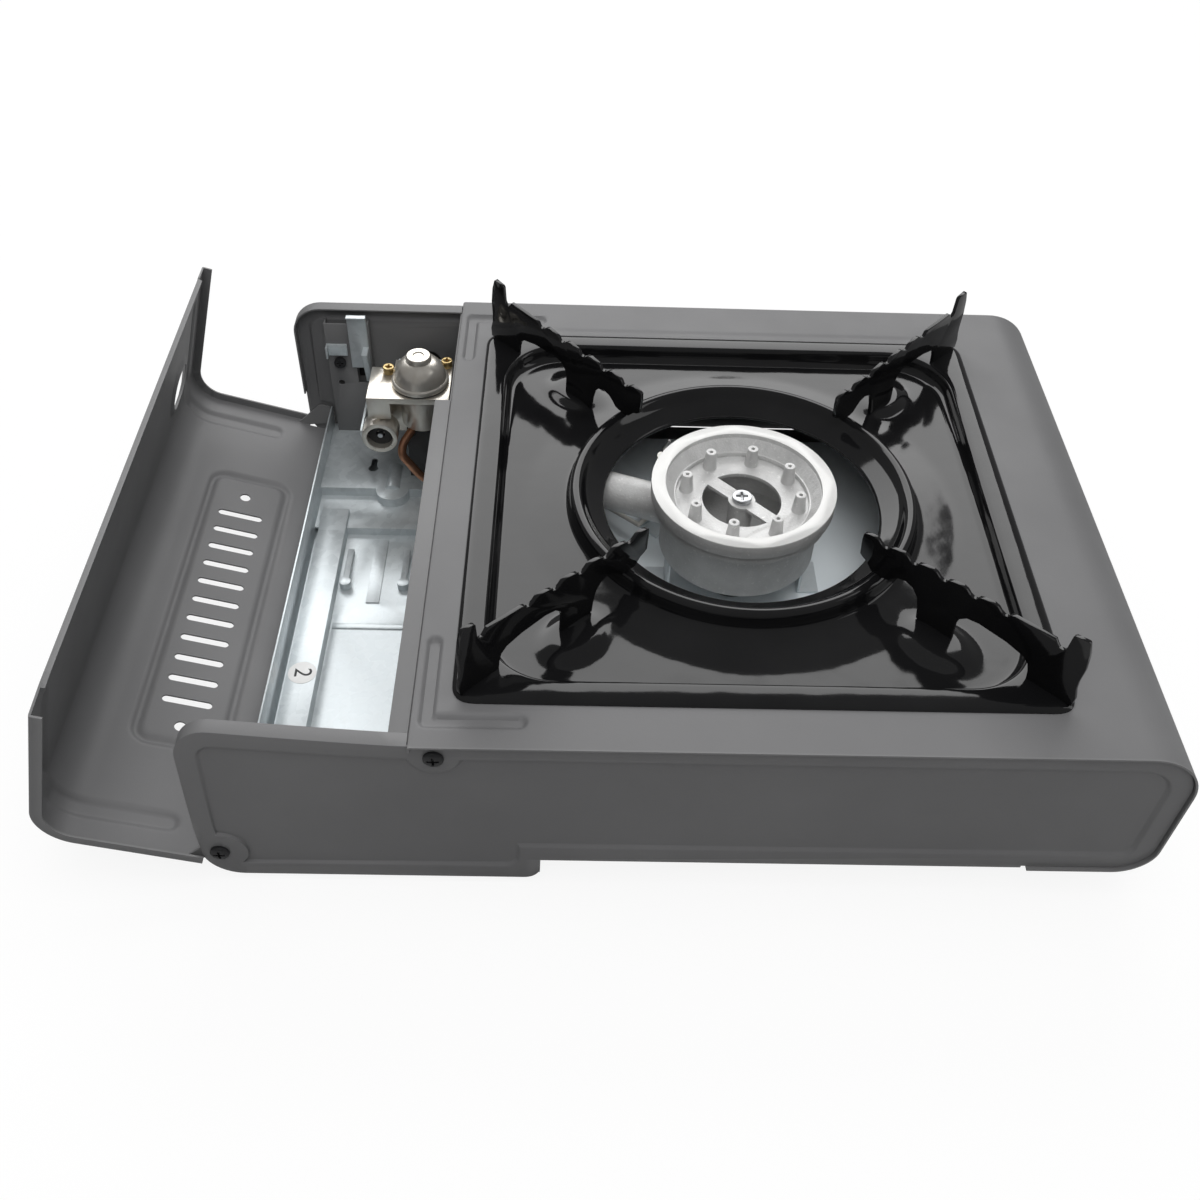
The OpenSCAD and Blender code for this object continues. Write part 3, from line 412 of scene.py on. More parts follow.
def outward(bm):
    bmesh.ops.recalc_face_normals(bm, faces=bm.faces[:])


def repeatTree():
    tree = bpy.data.node_groups.new("repeatAlong", "GeometryNodeTree")
    face = tree.interface
    face.new_socket("Geometry", in_out="INPUT", socket_type="NodeSocketGeometry")
    for name, kind, value in (("Count", "NodeSocketInt", 8), ("Start", "NodeSocketVector", (0, 0, 0)),
                              ("Pitch", "NodeSocketVector", (0, 0, 0)), ("Turn", "NodeSocketFloat", 0.0),
                              ("First Turn", "NodeSocketFloat", 0.0), ("Radius", "NodeSocketFloat", 0.0)):
        face.new_socket(name, in_out="INPUT", socket_type=kind).default_value = value
    face.new_socket("Finish", in_out="INPUT", socket_type="NodeSocketMaterial")
    face.new_socket("Geometry", in_out="OUTPUT", socket_type="NodeSocketGeometry")
    add = tree.nodes.new
    link = tree.links.new
    source = add("NodeGroupInput")
    line = add("GeometryNodeMeshLine")
    link(source.outputs["Count"], line.inputs["Count"])
    link(source.outputs["Start"], line.inputs["Start Location"])
    link(source.outputs["Pitch"], line.inputs["Offset"])
    index = add("GeometryNodeInputIndex")

    def calc(how, *values):
        node = add("ShaderNodeMath")
        node.operation = how
        for value, socket in zip(values, node.inputs):
            link(value, socket)
        return node.outputs[0]

    turned = calc("MULTIPLY_ADD", index.outputs[0], source.outputs["Turn"], source.outputs["First Turn"])
    spoke = add("ShaderNodeCombineXYZ")
    link(calc("COSINE", turned), spoke.inputs[0])
    link(calc("SINE", turned), spoke.inputs[1])
    reach = add("ShaderNodeVectorMath")
    reach.operation = "SCALE"
    link(spoke.outputs[0], reach.inputs[0])
    link(source.outputs["Radius"], reach.inputs["Scale"])
    moved = add("GeometryNodeSetPosition")
    link(line.outputs[0], moved.inputs["Geometry"])
    link(reach.outputs[0], moved.inputs["Offset"])
    angle = add("ShaderNodeCombineXYZ")
    link(turned, angle.inputs[2])
    placed = add("GeometryNodeInstanceOnPoints")
    link(moved.outputs[0], placed.inputs["Points"])
    link(source.outputs["Geometry"], placed.inputs["Instance"])
    link(angle.outputs[0], placed.inputs["Rotation"])
    real = add("GeometryNodeRealizeInstances")
    link(placed.outputs[0], real.inputs[0])
    coat = add("GeometryNodeSetMaterial")
    link(real.outputs[0], coat.inputs["Geometry"])
    link(source.outputs["Finish"], coat.inputs["Material"])
    sink = add("NodeGroupOutput")
    link(coat.outputs[0], sink.inputs["Geometry"])
    return tree


repeater = repeatTree()


def repeated(piece, finish, smoothAngle=38, **values):
    # piece holds the template's mesh, and leaves with every copy in it
    modifier = piece.modifiers.new("repeat", "NODES")
    modifier.node_group = repeater
    sockets = {s.name: s.identifier for s in repeater.interface.items_tree if s.in_out == "INPUT"}
    for name, value in values.items():
        modifier[sockets[name.replace("_", " ")]] = value
    modifier[sockets["Finish"]] = finishes[finish]
    return settle(piece, smoothAngle)


def weldedCopy(node):
    bm = bmesh.new()
    bm.from_mesh(nodes[node].data)
    bmesh.ops.remove_doubles(bm, verts=bm.verts[:], dist=2e-6)
    bmesh.ops.dissolve_limit(bm, angle_limit=math.radians(0.8), verts=bm.verts[:], edges=bm.edges[:])
    return bm


def dressed(name, node, finish, body, width, segments=2):
    piece = newPiece(name, weldedCopy(node), finish, 34)
    roundEdges(piece, width * mm, segments)
    settle(piece, 34)
    done(piece, body, node)


def done(piece, body, node):
    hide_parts(node)
    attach(piece, body)


plainEdges = {
    # node: (finish, slot, body, edge radius in mm)
    "partition_wall": ("paint", "painted_sheet", "housing", 0.25),
    "bay_tray": ("zinc", "galvanised", "housing", 0.35),
    "tray_clips": ("zinc", "galvanised", "housing", 0.4),
    "burner_tray": ("zinc", "galvanised", "housing", 0.25),
    "burner_brackets": ("zinc", "galvanised", "housing", 0.25),
    "burner_bowl": ("casting", "casting", "housing", 0.6),
    "mixing_tube": ("casting", "casting", "housing", 0.5),
    "air_shutter": ("zinc", "galvanised", "housing", 0.25),
    "burner_head": ("casting", "casting", "housing", 0.35),
    "electrode_bracket": ("zinc", "galvanised", "housing", 0.2),
    "piezo_igniter": ("blackPlastic", "black_plastic", "housing", 0.5),
    "regulator_body": ("nickel", "nickel", "housing", 0.6),
    "regulator_bracket": ("zinc", "galvanised", "housing", 0.25),
    "valve_body": ("brass", "brass", "housing", 0.4),
    "can_connector": ("nickel", "nickel", "connector", 0.3),
    "shift_link": ("zinc", "galvanised", "connector", 0.25),
    "lever_guide": ("paint", "painted_sheet", "housing", 0.2),
    "guide_hook": ("zinc", "galvanised", "housing", 0.2),
    "lever_plate": ("zinc", "galvanised", "lever", 0.25),
    "lock_lever": ("blackPlastic", "black_plastic", "lever", 0.6),
    "knob_escutcheon": ("zinc", "galvanised", "housing", 0.15),
    "tray_screws": ("bolt", "zinc_bolt", "housing", 0.25),
    "regulator_screws": ("brass", "brass", "housing", 0.25),
    "burner_screw": ("bolt", "zinc_bolt", "housing", 0.3),
    "guide_bolt": ("blackBolt", "black_bolt", "housing", 0.25),
    "feet": ("rubber", "rubber", "housing", 0.8),
}
for node, (finish, slot, body, width) in plainEdges.items():
    dressed(node + "_dressed", node, finish, body, width)

keptNodes = {
    "gas_jet": "brass", "electrode_ceramic": "ceramic", "electrode_rod": "steel",
    "ignition_wire": "sleeve", "regulator_diaphragm": "rubber", "regulator_spring": "steel",
    "connector_seal": "rubber", "connector_pin": "bolt", "valve_stem": "bolt",
}
for node, finish in keptNodes.items():
    for slotOfNode in nodes[node].material_slots:
        slotOfNode.material = finishes[finish]
print("CAD nodes dressed")

shellValues = {
    "seam": -122, "right": 151, "rear": -128, "front": 135, "top": 86, "base": 16,
    "topRadius": 22, "baseRadius": 14, "sheet": 0.8, "well": 100, "floorEnd": 105,
    "beadDepth": 1.5, "beadHalf": 2.4, "beadSoft": 0.8, "lowTab": (-77, -124.3, 131.3),
    "wellTurn": 3.2, "creaseY": 113, "creaseDepth": 0.45,
}


def makeShell(v):
    bm = bmesh.new()
    seam, right, top, base = v["seam"], v["right"], v["top"], v["base"]
    xs = spread([(seam + 1, 0.7), (-80, 4), (96, 4), (v["well"], 5), (right - v["topRadius"], 1)])
    xs = sorted(set(xs + [-v["well"]]))
    path = [(seam, top - 3, 0), (seam, top - 0.9, 0), (seam + 0.27, top - 0.27, 0)]
    path += [(x, top, 1) for x in xs]
    big, small = v["topRadius"], v["baseRadius"]
    path += [(x, z, 0) for x, z in arc(right - big, top - big, big, 90, 0, 16)[1:]]
    path += [(right, 48, 0)]
    path += [(x, z, 0) for x, z in arc(right - small, base + small, small, 0, -90, 12)]
    path += [(v["floorEnd"], base, 0)]
    ys = spread([(v["rear"], 0.9), (-76, 4), (86, 0.9), (v["front"], 1)])
    ys = sorted(set([y for y in ys if abs(abs(y) - v["well"]) > 0.8] + [-v["well"], v["well"]]))
    corner = seam + 5.5
    beads = [[(-85, -116.2), (corner, -116.2), (corner, -81)], [(-85, 122), (corner, 122), (corner, 92)]]

    def height(x, y):
        drop = max(pressed(toPath(x, y, bead), v["beadHalf"], v["beadSoft"]) for bead in beads)
        crease = pressed(toPath(x, y, [(-76, v["creaseY"]), (90, v["creaseY"])]), 1.6, 1.2)
        return -v["beadDepth"] * drop - v["creaseDepth"] * crease

    rows = [[at(x, y, z + (height(x, y) if flat else 0)) for y in ys] for x, z, flat in path]
    table = grid(bm, rows)

    def overWell(point, spare):
        p = point - at(0, 0, 0)
        return max(abs(p.x), abs(p.y)) < (v["well"] + spare) * mm and p.z > 0.08

    hole = [face for face in bm.faces if overWell(face.calc_center_median(), -0.1)]
    bmesh.ops.delete(bm, geom=hole, context="FACES")
    # turned-down edge round the well
    rim = [e for e in bm.edges if e.is_boundary and all(overWell(q.co, 0.5) for q in e.verts)]
    turned = bmesh.ops.extrude_edge_only(bm, edges=rim)
    for q in [g for g in turned["geom"] if isinstance(g, bmesh.types.BMVert)]:
        q.co.z -= v["wellTurn"] * mm
    outward(bm)
    piece = newPiece("shell_sheet", bm, "paint", 45)
    top = max(piece.data.polygons, key=lambda f: f.center.z)
    if top.normal.z < 0:
        piece.data.flip_normals()
    thicken(piece, v["sheet"] * mm)
    settle(piece, 45)
    # floor between the end panels
    x0, y0, y1 = v["lowTab"]
    bm = bmesh.new()
    prism(bm, [at(x0, y0, 0), at(v["floorEnd"], y0, 0), at(v["floorEnd"], y1, 0), at(x0, y1, 0)],
          Vector((0, 0, base * mm)), Vector((0, 0, (base + v["sheet"]) * mm)))
    floor = newPiece("shell_floor", bm, "paint")
    roundEdges(floor, 0.2 * mm)
    settle(floor, 34)
    done(piece, "housing", "body_shell")
    done(floor, "housing", "body_shell")


makeShell(shellValues)
print("housing sheet made")

rearFace, frontFace = -126.6, 133.6
endValues = {
    "recess": 1.5, "sheet": 0.8, "slope": 1.3, "round": 0.5, "edge": 0.25,
    "knobHole": (-140, 54, 7), "leverSlot": (-176, -168, 42, 73),
    "pivot": (-196, 19, 15, 24), "seam": -122, "left": -203, "low": 34, "top": 85, "lean": 5.5,
}


def slopeRecess(bm, face, way, v):
    # moves the floor of the pressed field inward, so that its walls slope
    origin = at(0, 0, 0)
    holeX, holeZ, holeR = v["knobHole"]
    pivotX, pivotZ, still, free = v["pivot"]
    slotLeft, slotRight, slotLow, slotHigh = v["leverSlot"]
    moves = {}
    for q in bm.verts:
        p = (q.co - origin) / mm
        depth = way * (p.y - face)
        outer = abs(depth - v["recess"]) < 0.05
        inner = abs(depth - v["recess"] - v["sheet"]) < 0.05
        inHole = way < 0 and (math.hypot(p.x - holeX, q.co.z / mm - holeZ) < holeR
                              or (slotLeft < p.x < slotRight and slotLow < q.co.z / mm < slotHigh))
        if not (outer or inner) or inHole:
            continue
        sides = []
        for f in q.link_faces:
            n = Vector((f.normal.x, 0, f.normal.z)) * (1 if outer else -1)
            if abs(f.normal.y) < 0.2 and all(n.dot(m) < 0.9995 for m in sides):
                sides.append(n.normalized())
        if sides:
            total = sum(sides, Vector())
            reach = total.length_squared / len(sides)
            near = smooth(math.hypot(p.x - pivotX, q.co.z / mm - pivotZ), still, free)
            moves[q] = total * (near * v["slope"] * mm / max(0.6, reach))
    for q, move in moves.items():
        q.co += move
    bm.normal_update()


def makeEndPanel(name, node, face, way, lean, v):
    bm = weldedCopy(node)
    slopeRecess(bm, face, way, v)
    weight = bm.edges.layers.float.new("bevel_weight_edge")
    for e in bm.edges:
        if len(e.link_faces) == 2 and e.calc_face_angle(0) > math.radians(25):
            sloped = any(0.15 < abs(f.normal.y) < 0.97 for f in e.link_faces)
            level = abs(e.verts[0].co.y - e.verts[1].co.y) < 0.0001
            e[weight] = 1.0 if sloped and level else v["edge"]
    piece = newPiece(name, bm, "paint", 34)
    edge = roundEdges(piece, v["round"] * mm, 3)
    edge.limit_method = "WEIGHT"
    edge.use_clamp_overlap = False
    settle(piece, 34)
    if lean:
        bm = bmesh.new()
        bm.from_mesh(piece.data)
        cuts = [(at(x, 0, 0), (1, 0, 0)) for x in range(v["left"] + 3, v["seam"] + 1, 6)]
        cuts += [(at(0, 0, z), (0, 0, 1)) for z in range(v["low"], v["top"], 9)]
        for point, way in cuts:
            bmesh.ops.bisect_plane(bm, geom=bm.verts[:] + bm.edges[:] + bm.faces[:],
                                   plane_co=point, plane_no=way, dist=1e-6)
        origin = at(0, 0, 0)
        for q in bm.verts:
            x = (q.co.x - origin.x) / mm
            z = q.co.z / mm
            side = min(1, max(0, (v["seam"] - 2 - x) / (v["seam"] - 2 - v["left"])))
            rise = min(1, max(0, (z - v["low"]) / (v["top"] - v["low"])))
            q.co.y += lean * mm * side ** 1.15 * rise ** 1.1
        bm.to_mesh(piece.data)
        bm.free()
        piece.data.shade_smooth()
        piece.data.set_sharp_from_angle(angle=math.radians(34))
    done(piece, "housing", node)


makeEndPanel("rear_panel_sheet", "rear_panel", rearFace, 1, endValues["lean"], endValues)
makeEndPanel("front_panel_sheet", "front_panel", frontFace, -1, 0, endValues)

screwValues = {"radius": 3.6, "height": 2.0, "slotLength": 2.1, "slotHalf": 0.45, "depth": 1.2}


def screwHead(name, finish, v, direction):
    # domed head with a cross recess, standing on z = 0 and turned to direction
    r, h = v["radius"], v["height"]
    profile = [(r * 0.96, 0), (r, 0.25), (r, h * 0.45), (r * 0.93, h * 0.72), (r * 0.72, h * 0.93),
               (r * 0.4, h), (0.01, h)]
    head = lathe(name, Vector(), (0, 0, 1), [(a * mm, b * mm) for a, b in profile], 40, finish)
    cut = bmesh.new()
    for a, b in ((v["slotLength"], v["slotHalf"]), (v["slotHalf"], v["slotLength"])):
        matrix = Matrix.Translation((0, 0, (h - v["depth"] / 2 + 0.5) * mm)) @ Matrix.Diagonal(
            (2 * a * mm, 2 * b * mm, (v["depth"] + 1) * mm, 1))
        bmesh.ops.create_cube(cut, size=1, matrix=matrix)
    cutter = newPiece(name + "_cut", cut, finish)
    cutIt(head, cutter)
    turn = Vector((0, 0, 1)).rotation_difference(Vector(direction)).to_matrix().to_4x4()
    head.data.transform(turn)
    return head


def cutIt(piece, cutter):
    knife = piece.modifiers.new("cut", "BOOLEAN")
    knife.operation = "DIFFERENCE"
    knife.solver = "EXACT"
    knife.object = cutter
    knife.use_self = True
    settle(piece, 34)
    bpy.data.objects.remove(cutter)


def placeScrews(name, places, finish, node, v):
    for i, (point, direction) in enumerate(places):
        head = screwHead(f"{name}_{i + 1}", finish, v, direction)
        repeated(head, finish, Count=1, Start=point)
        done(head, "housing", node)


placeScrews("seam_screw", [(at(-113.6, rearFace, 79), (0, -1, 0)), (at(-113.6, frontFace, 79), (0, 1, 0))],
            "blackBolt", "panel_screws", screwValues)
placeScrews("pivot_screw", [(at(-196, rearFace, 19), (0, -1, 0)), (at(-196, frontFace, 19), (0, 1, 0))],
            "blackBolt", "hinge_screws", screwValues)
print("panels and screws made")

lidValues = {
    "pivot": (-196, 19), "open": 74, "side": -205, "low": 13, "top": 86, "radius": 16, "edge": -129.3,
    "rear": -128, "front": 135, "sheet": 0.8, "flange": 4.5, "hem": 2.2, "notch": 24.5,
    "cornerCut": (2.5, 17),
    "slots": 11, "pitch": 11.2, "slotLength": 20, "slotWidth": 3.4, "ventHeight": 45.5,
    "holeRadius": 2.4, "holeReach": 68.5, "cutter": 10,
    "groove": (44.6, 2.05, 17.4, 79.3, 6), "grooveHalf": 1.7, "grooveDepth": 1.2,
    "finger": (35, 96, 12, 9), "ribs": (-112.7, 119.7), "ribHalf": 3.7, "ribStart": 23.5, "ribDepth": 1.3,
    "dish": 1.1, "earInset": (1.1, 1.9), "earRadius": 6,
}


def lidTurn(v):
    pivot = at(v["pivot"][0], 0, v["pivot"][1])
    return (Matrix.Translation(pivot) @ Matrix.Rotation(math.radians(-v["open"]), 4, "Y")
            @ Matrix.Translation(-pivot))


def roundedBox(u, w, halfU, halfW, radius):
    # signed distance to a rectangle with round corners
    du = abs(u) - halfU + radius
    dw = abs(w) - halfW + radius
    return math.hypot(max(du, 0), max(dw, 0)) + min(max(du, dw), 0) - radius


def makeLid(v):
    side, top, radius, edge = v["side"], v["top"], v["radius"], v["edge"]
    sideZ = spread([(v["low"], 1.2), (v["notch"], 0.9), (top - radius, 1)])
    path = [(side, z, -1, 0, 0) for z in sideZ]
    for i in range(1, 15):
        a = math.radians(180 - 90 * i / 14)
        path.append((side + radius + radius * math.cos(a), top - radius + radius * math.sin(a),
                     math.cos(a), math.sin(a), 0))
    topX = spread([(side + radius, 1.4), (edge - 1.6, 0.8), (edge - 0.6, 1)])[1:]
    path += [(x, top, 0, 1, 0) for x in topX]
    # the last points fold down into the hem: the fifth value is how far
    path += [(edge - 0.12, top, 0, 1, 0.12), (edge, top, 0, 1, 0.6), (edge, top, 0, 1, v["hem"])]
    length = [0.0]
    for a, b in zip(path, path[1:]):
        length.append(length[-1] + math.hypot(b[0] - a[0], b[1] - a[1]))
    # how far each point may move out before it would pass the lid's own reach to the left
    turn = math.radians(v["open"])
    pivotX, pivotZ = v["pivot"]
    left = [(x - pivotX) * math.cos(turn) - (z - pivotZ) * math.sin(turn) for x, z, *_ in path]
    lean = [nx * math.cos(turn) - nz * math.sin(turn) for _, _, nx, nz, _ in path]
    room = [(a - min(left)) / -b if b < -0.01 else 9 for a, b in zip(left, lean)]
    # rows across: the end flanges are rows with an inset from the outer skin
    body = spread([(v["rear"] + 0.9, 1.0), (-104, 2.0), (-84, 1.0), (-74, 2.2), (78, 1.0),
                   (v["front"] - 0.9, 1)])
    rows = [(v["rear"], v["flange"]), (v["rear"], 1.6), (v["rear"] + 0.08, 0.5), (v["rear"] + 0.4, 0.1)]
    rows += [(y, 0) for y in body]
    rows += [(v["front"] - 0.4, 0.1), (v["front"] - 0.08, 0.5), (v["front"], 1.6), (v["front"], v["flange"])]
    grooveZ, grooveY, grooveHigh, grooveLong, grooveR = v["groove"]
    fingerX, fingerY, fingerHalf, fingerWide = v["finger"]

    def press(s, x, z, y):
        depth = 0.0
        if x < side + 4:
            d = abs(roundedBox(z - grooveZ, y - grooveY, grooveHigh, grooveLong, grooveR))
            depth += v["grooveDepth"] * pressed(d, v["grooveHalf"], 1.0)
        for rib in v["ribs"]:
            d = toPath(s, y, [(v["ribStart"] + v["ribHalf"], rib), (length[-1] - 14, rib)])
            depth += v["ribDepth"] * pressed(d, v["ribHalf"], 1.1)
        if x > side + radius:
            wide = fingerWide + 2.4
            d = roundedBox(x - side - fingerX, y - fingerY, wide, fingerHalf + 2.4, wide)
            depth -= v["dish"] * (1 - smooth(d, -1.6, 1.0))
        return depth

    bm = bmesh.new()
    table = []
    for y, inset in rows:
        line = []
        hemmed = v["rear"] + 10 < y < v["front"] - 10
        for (x, z, nx, nz, down), s, most in zip(path, length, room):
            move = min(press(s, x, z, y), most) - inset
            line.append(at(x + nx * move, y, z + nz * move - (down if hemmed else 0)))
        table.append(line)
    grid(bm, table)
    gone = []
    for face in bm.faces:
        c = (face.calc_center_median() - at(0, 0, 0)) / mm
        if c.z < v["notch"] and not v["rear"] + 4.1 <= c.y <= v["front"] - 4.1:
            gone.append(face)
    bmesh.ops.delete(bm, geom=gone, context="FACES")
    bmesh.ops.remove_doubles(bm, verts=bm.verts[:], dist=2e-5)
    bmesh.ops.dissolve_degenerate(bm, edges=bm.edges[:], dist=1e-6)
    outward(bm)
    lid = newPiece("lid_sheet", bm, "paint", 45)
    highest = max(lid.data.polygons, key=lambda f: f.center.z)
    if highest.normal.z < 0:
        lid.data.flip_normals()
    thicken(lid, v["sheet"] * mm)
    settle(lid, 45)
    # vent slots, round holes and finger hole are cut through the sheet
    sideX = side - 4
    slotHalf = (v["slotLength"] - v["slotWidth"]) / 2
    outline = [Vector((0, y * mm, z * mm)) for y, z in longHole(slotHalf, v["slotWidth"] / 2, 12)]
    slotCutter = solid("slot_cutter", outline, (0, 0, 0), (v["cutter"] * mm, 0, 0), "paint")
    firstY = -(v["slots"] - 1) / 2 * v["pitch"]
    repeated(slotCutter, "paint", Count=v["slots"], Start=at(sideX, firstY, v["ventHeight"]),
             Pitch=(0, v["pitch"] * mm, 0))
    cutIt(lid, slotCutter)
    profile = [(v["holeRadius"] * mm, 0), (v["holeRadius"] * mm, v["cutter"] * mm)]
    holeCutter = lathe("hole_cutter", Vector(), (1, 0, 0), profile, 28, "paint")
    repeated(holeCutter, "paint", Count=2, Start=at(sideX, -v["holeReach"], v["ventHeight"]),
             Pitch=(0, 2 * v["holeReach"] * mm, 0))
    cutIt(lid, holeCutter)
    outline = [at(side + fingerX + x, fingerY + y, top - 6)
               for x, y in longHole(fingerHalf - fingerWide, fingerWide, 16)]
    cutIt(lid, solid("finger_cutter", outline, (0, 0, 0), (0, 0, v["cutter"] * mm), "paint"))
    # slanted corner beside the hem
    cutX, cutY = v["cornerCut"]
    near, far = v["rear"] - 1, v["rear"] + cutY
    outline = [at(x, y, top - 7)
               for x, y in ((edge + 2, near), (edge + 2, far), (edge, far), (edge - cutX, near))]
    cutIt(lid, solid("corner_cutter", outline, (0, 0, 0), (0, 0, v["cutter"] * mm), "paint"))
    # ears that hang on the pivot screws, inside the end panels
    px, pz = v["pivot"]
    behind, before = v["earInset"]
    for name, y in (("lid_ear_rear", rearFace + behind), ("lid_ear_front", frontFace - before)):
        outline = [(side + 0.8, pz + 5.5), (side + 0.8, pz + 11), (px + 4, pz + 4)]
        outline += arc(px, pz, v["earRadius"], 35, -130, 14)
        low = [at(x, y, z) for x, z in outline]
        ear = solid(name, low[::-1], (0, 0, 0), (0, v["sheet"] * mm, 0), "paint")
        ear.data.transform(lidTurn(v))
        done(ear, "lid", "lid")
    lid.data.transform(lidTurn(v))
    done(lid, "lid", "lid")


makeLid(lidValues)
print("lid made")

panValues = {
    "half": 109, "corner": 7, "rim": 88, "seat": 86.05, "well": 99, "wellCorner": 24, "field": 81.5,
    "ring": 69.7, "ringTop": 91.4, "mouth": 57, "mouthZ": 84.4, "sheet": 0.9,
    "pads": [(67, 73), (-67, 73), (67, -73), (-67, -73)], "padRadius": 14.5, "padHeight": 2.1, "around": 320,
    "cone": 2.0, "coneEnd": 88,
}


def squarePoint(angle, half, corner):
    # where a ray from the middle meets a square with round corners
    c, s = math.cos(angle), math.sin(angle)
    ax, ay = abs(c), abs(s)
    t = half / max(ax, ay)
    if min(ax, ay) * t > half - corner:
        k = half - corner
        b = k * (ax + ay)
        t = b + math.sqrt(b * b - 2 * k * k + corner * corner)
    return t


def makePan(v):
    n = v["around"]
    bm = bmesh.new()
    ring, ringTop, field, mouth = v["ring"], v["ringTop"], v["field"], v["mouth"]
    # (radius, height) loops from the burner opening over the raised ring to the field
    low = v["mouthZ"]
    loops = [(mouth - 1.2, low - 2.2), (mouth - 1.35, low - 1.5), (mouth - 1.2, low - 0.8),
             (mouth - 0.7, low - 0.3), (mouth + 0.2, low + 0.2), (mouth + 1.6, low + 0.9),
             (mouth + 3.2, low + 1.8), (mouth + 4.7, low + 2.6), (mouth + 6, low + 3.4),
             (mouth + 7.2, low + 5.0), (mouth + 8.1, low + 6.2), (mouth + 9.0, ringTop - 0.15),
             (mouth + 10, ringTop), (ring - 1.9, ringTop - 0.12),
             (ring - 0.9, ringTop - 0.7), (ring - 0.25, ringTop - 1.8), (ring, ringTop - 3.4),
             (ring + 0.25, field + 4.2), (ring + 0.6, field + 3.0), (ring + 1.3, field + 2.3),
             (ring + 2.8, field + v["cone"])]
    turns = [2 * math.pi * (i + 0.5) / n for i in range(n)]
    rows = [[(radius, height, False)] * n for radius, height in loops]
    blend = [0.04, 0.09, 0.15, 0.21, 0.27, 0.33, 0.39, 0.45, 0.51, 0.57, 0.63, 0.69, 0.75, 0.81, 0.86,
             0.91, 0.95, 0.985]
    foot = ring + 2.8
    wallHalf = v["well"] - 2.4
    for t in blend:
        outer = [squarePoint(a, wallHalf - 1.5, v["wellCorner"] - 1) for a in turns]
        rows.append([(foot + (r - foot) * t, field, True) for r in outer])
    wall = [(-1.2, 0.12), (-0.1, 0.6), (0.8, 1.6), (1.35, 3.0), (1.7, 4.6), (2.1, 5.7), (2.9, 6.3),
            (4.0, 6.5)]
    for out, up in wall:
        rows.append([(squarePoint(a, wallHalf + out, v["wellCorner"] + out), field + up, False)
                     for a in turns])
    half, rim = v["half"], v["rim"]
    edge = [(half - 4.2, rim + 0.02), (half - 2.9, rim - 0.1), (half - 1.7, rim - 0.42),
            (half - 0.8, rim - 0.9), (half - 0.2, rim - 1.5), (half, v["seat"])]
    for reach, height in edge:
        rows.append([(squarePoint(a, reach, v["corner"] + reach - half), height, False) for a in turns])
    points = []
    for row in rows:
        line = []
        for a, (radius, height, isField) in zip(turns, row):
            x, y = radius * math.cos(a), radius * math.sin(a)
            if isField:
                for px, py in v["pads"]:
                    far = math.hypot(px, py)
                    along = (x * px + y * py) / far - far
                    across = (x * -py + y * px) / far
                    d = math.hypot(along / 1.25, across / 0.95) / v["padRadius"]
                    height += v["padHeight"] * (1 - smooth(d, 0.5, 0.96))
                fall = (math.hypot(x, y) - foot) / (v["coneEnd"] - foot)
                tail = 0.15 * max(0, 1 - (fall - 0.85) / 0.3) ** 2
                height += v["cone"] * (max(0, 1 - fall) if fall < 0.85 else tail)
            line.append(at(x, y, height))
        points.append(line)
    ringGrid(bm, points)
    outward(bm)
    pan = newPiece("enamel_pan", bm, "enamel", 60)
    middle = [f for f in pan.data.polygons if abs(f.center.z - field * mm) < 0.0001]
    if middle and middle[0].normal.z < 0:
        pan.data.flip_normals()
    thicken(pan, v["sheet"] * mm)
    finer = pan.modifiers.new("finer", "SUBSURF")
    finer.levels = finer.render_levels = 1
    settle(pan, 60)
    done(pan, "pan", "drip_pan")


makePan(panValues)
print("pan made")

finValues = {"thick": 1.6, "rim": 88, "ringTop": 91.4, "ring": 69.7, "field": 81.5, "mouth": 57,
             "out": 152.15, "tab": 118.5, "saddle": 107, "slope": 0.06, "notches": 5, "notchPitch": 12.6}


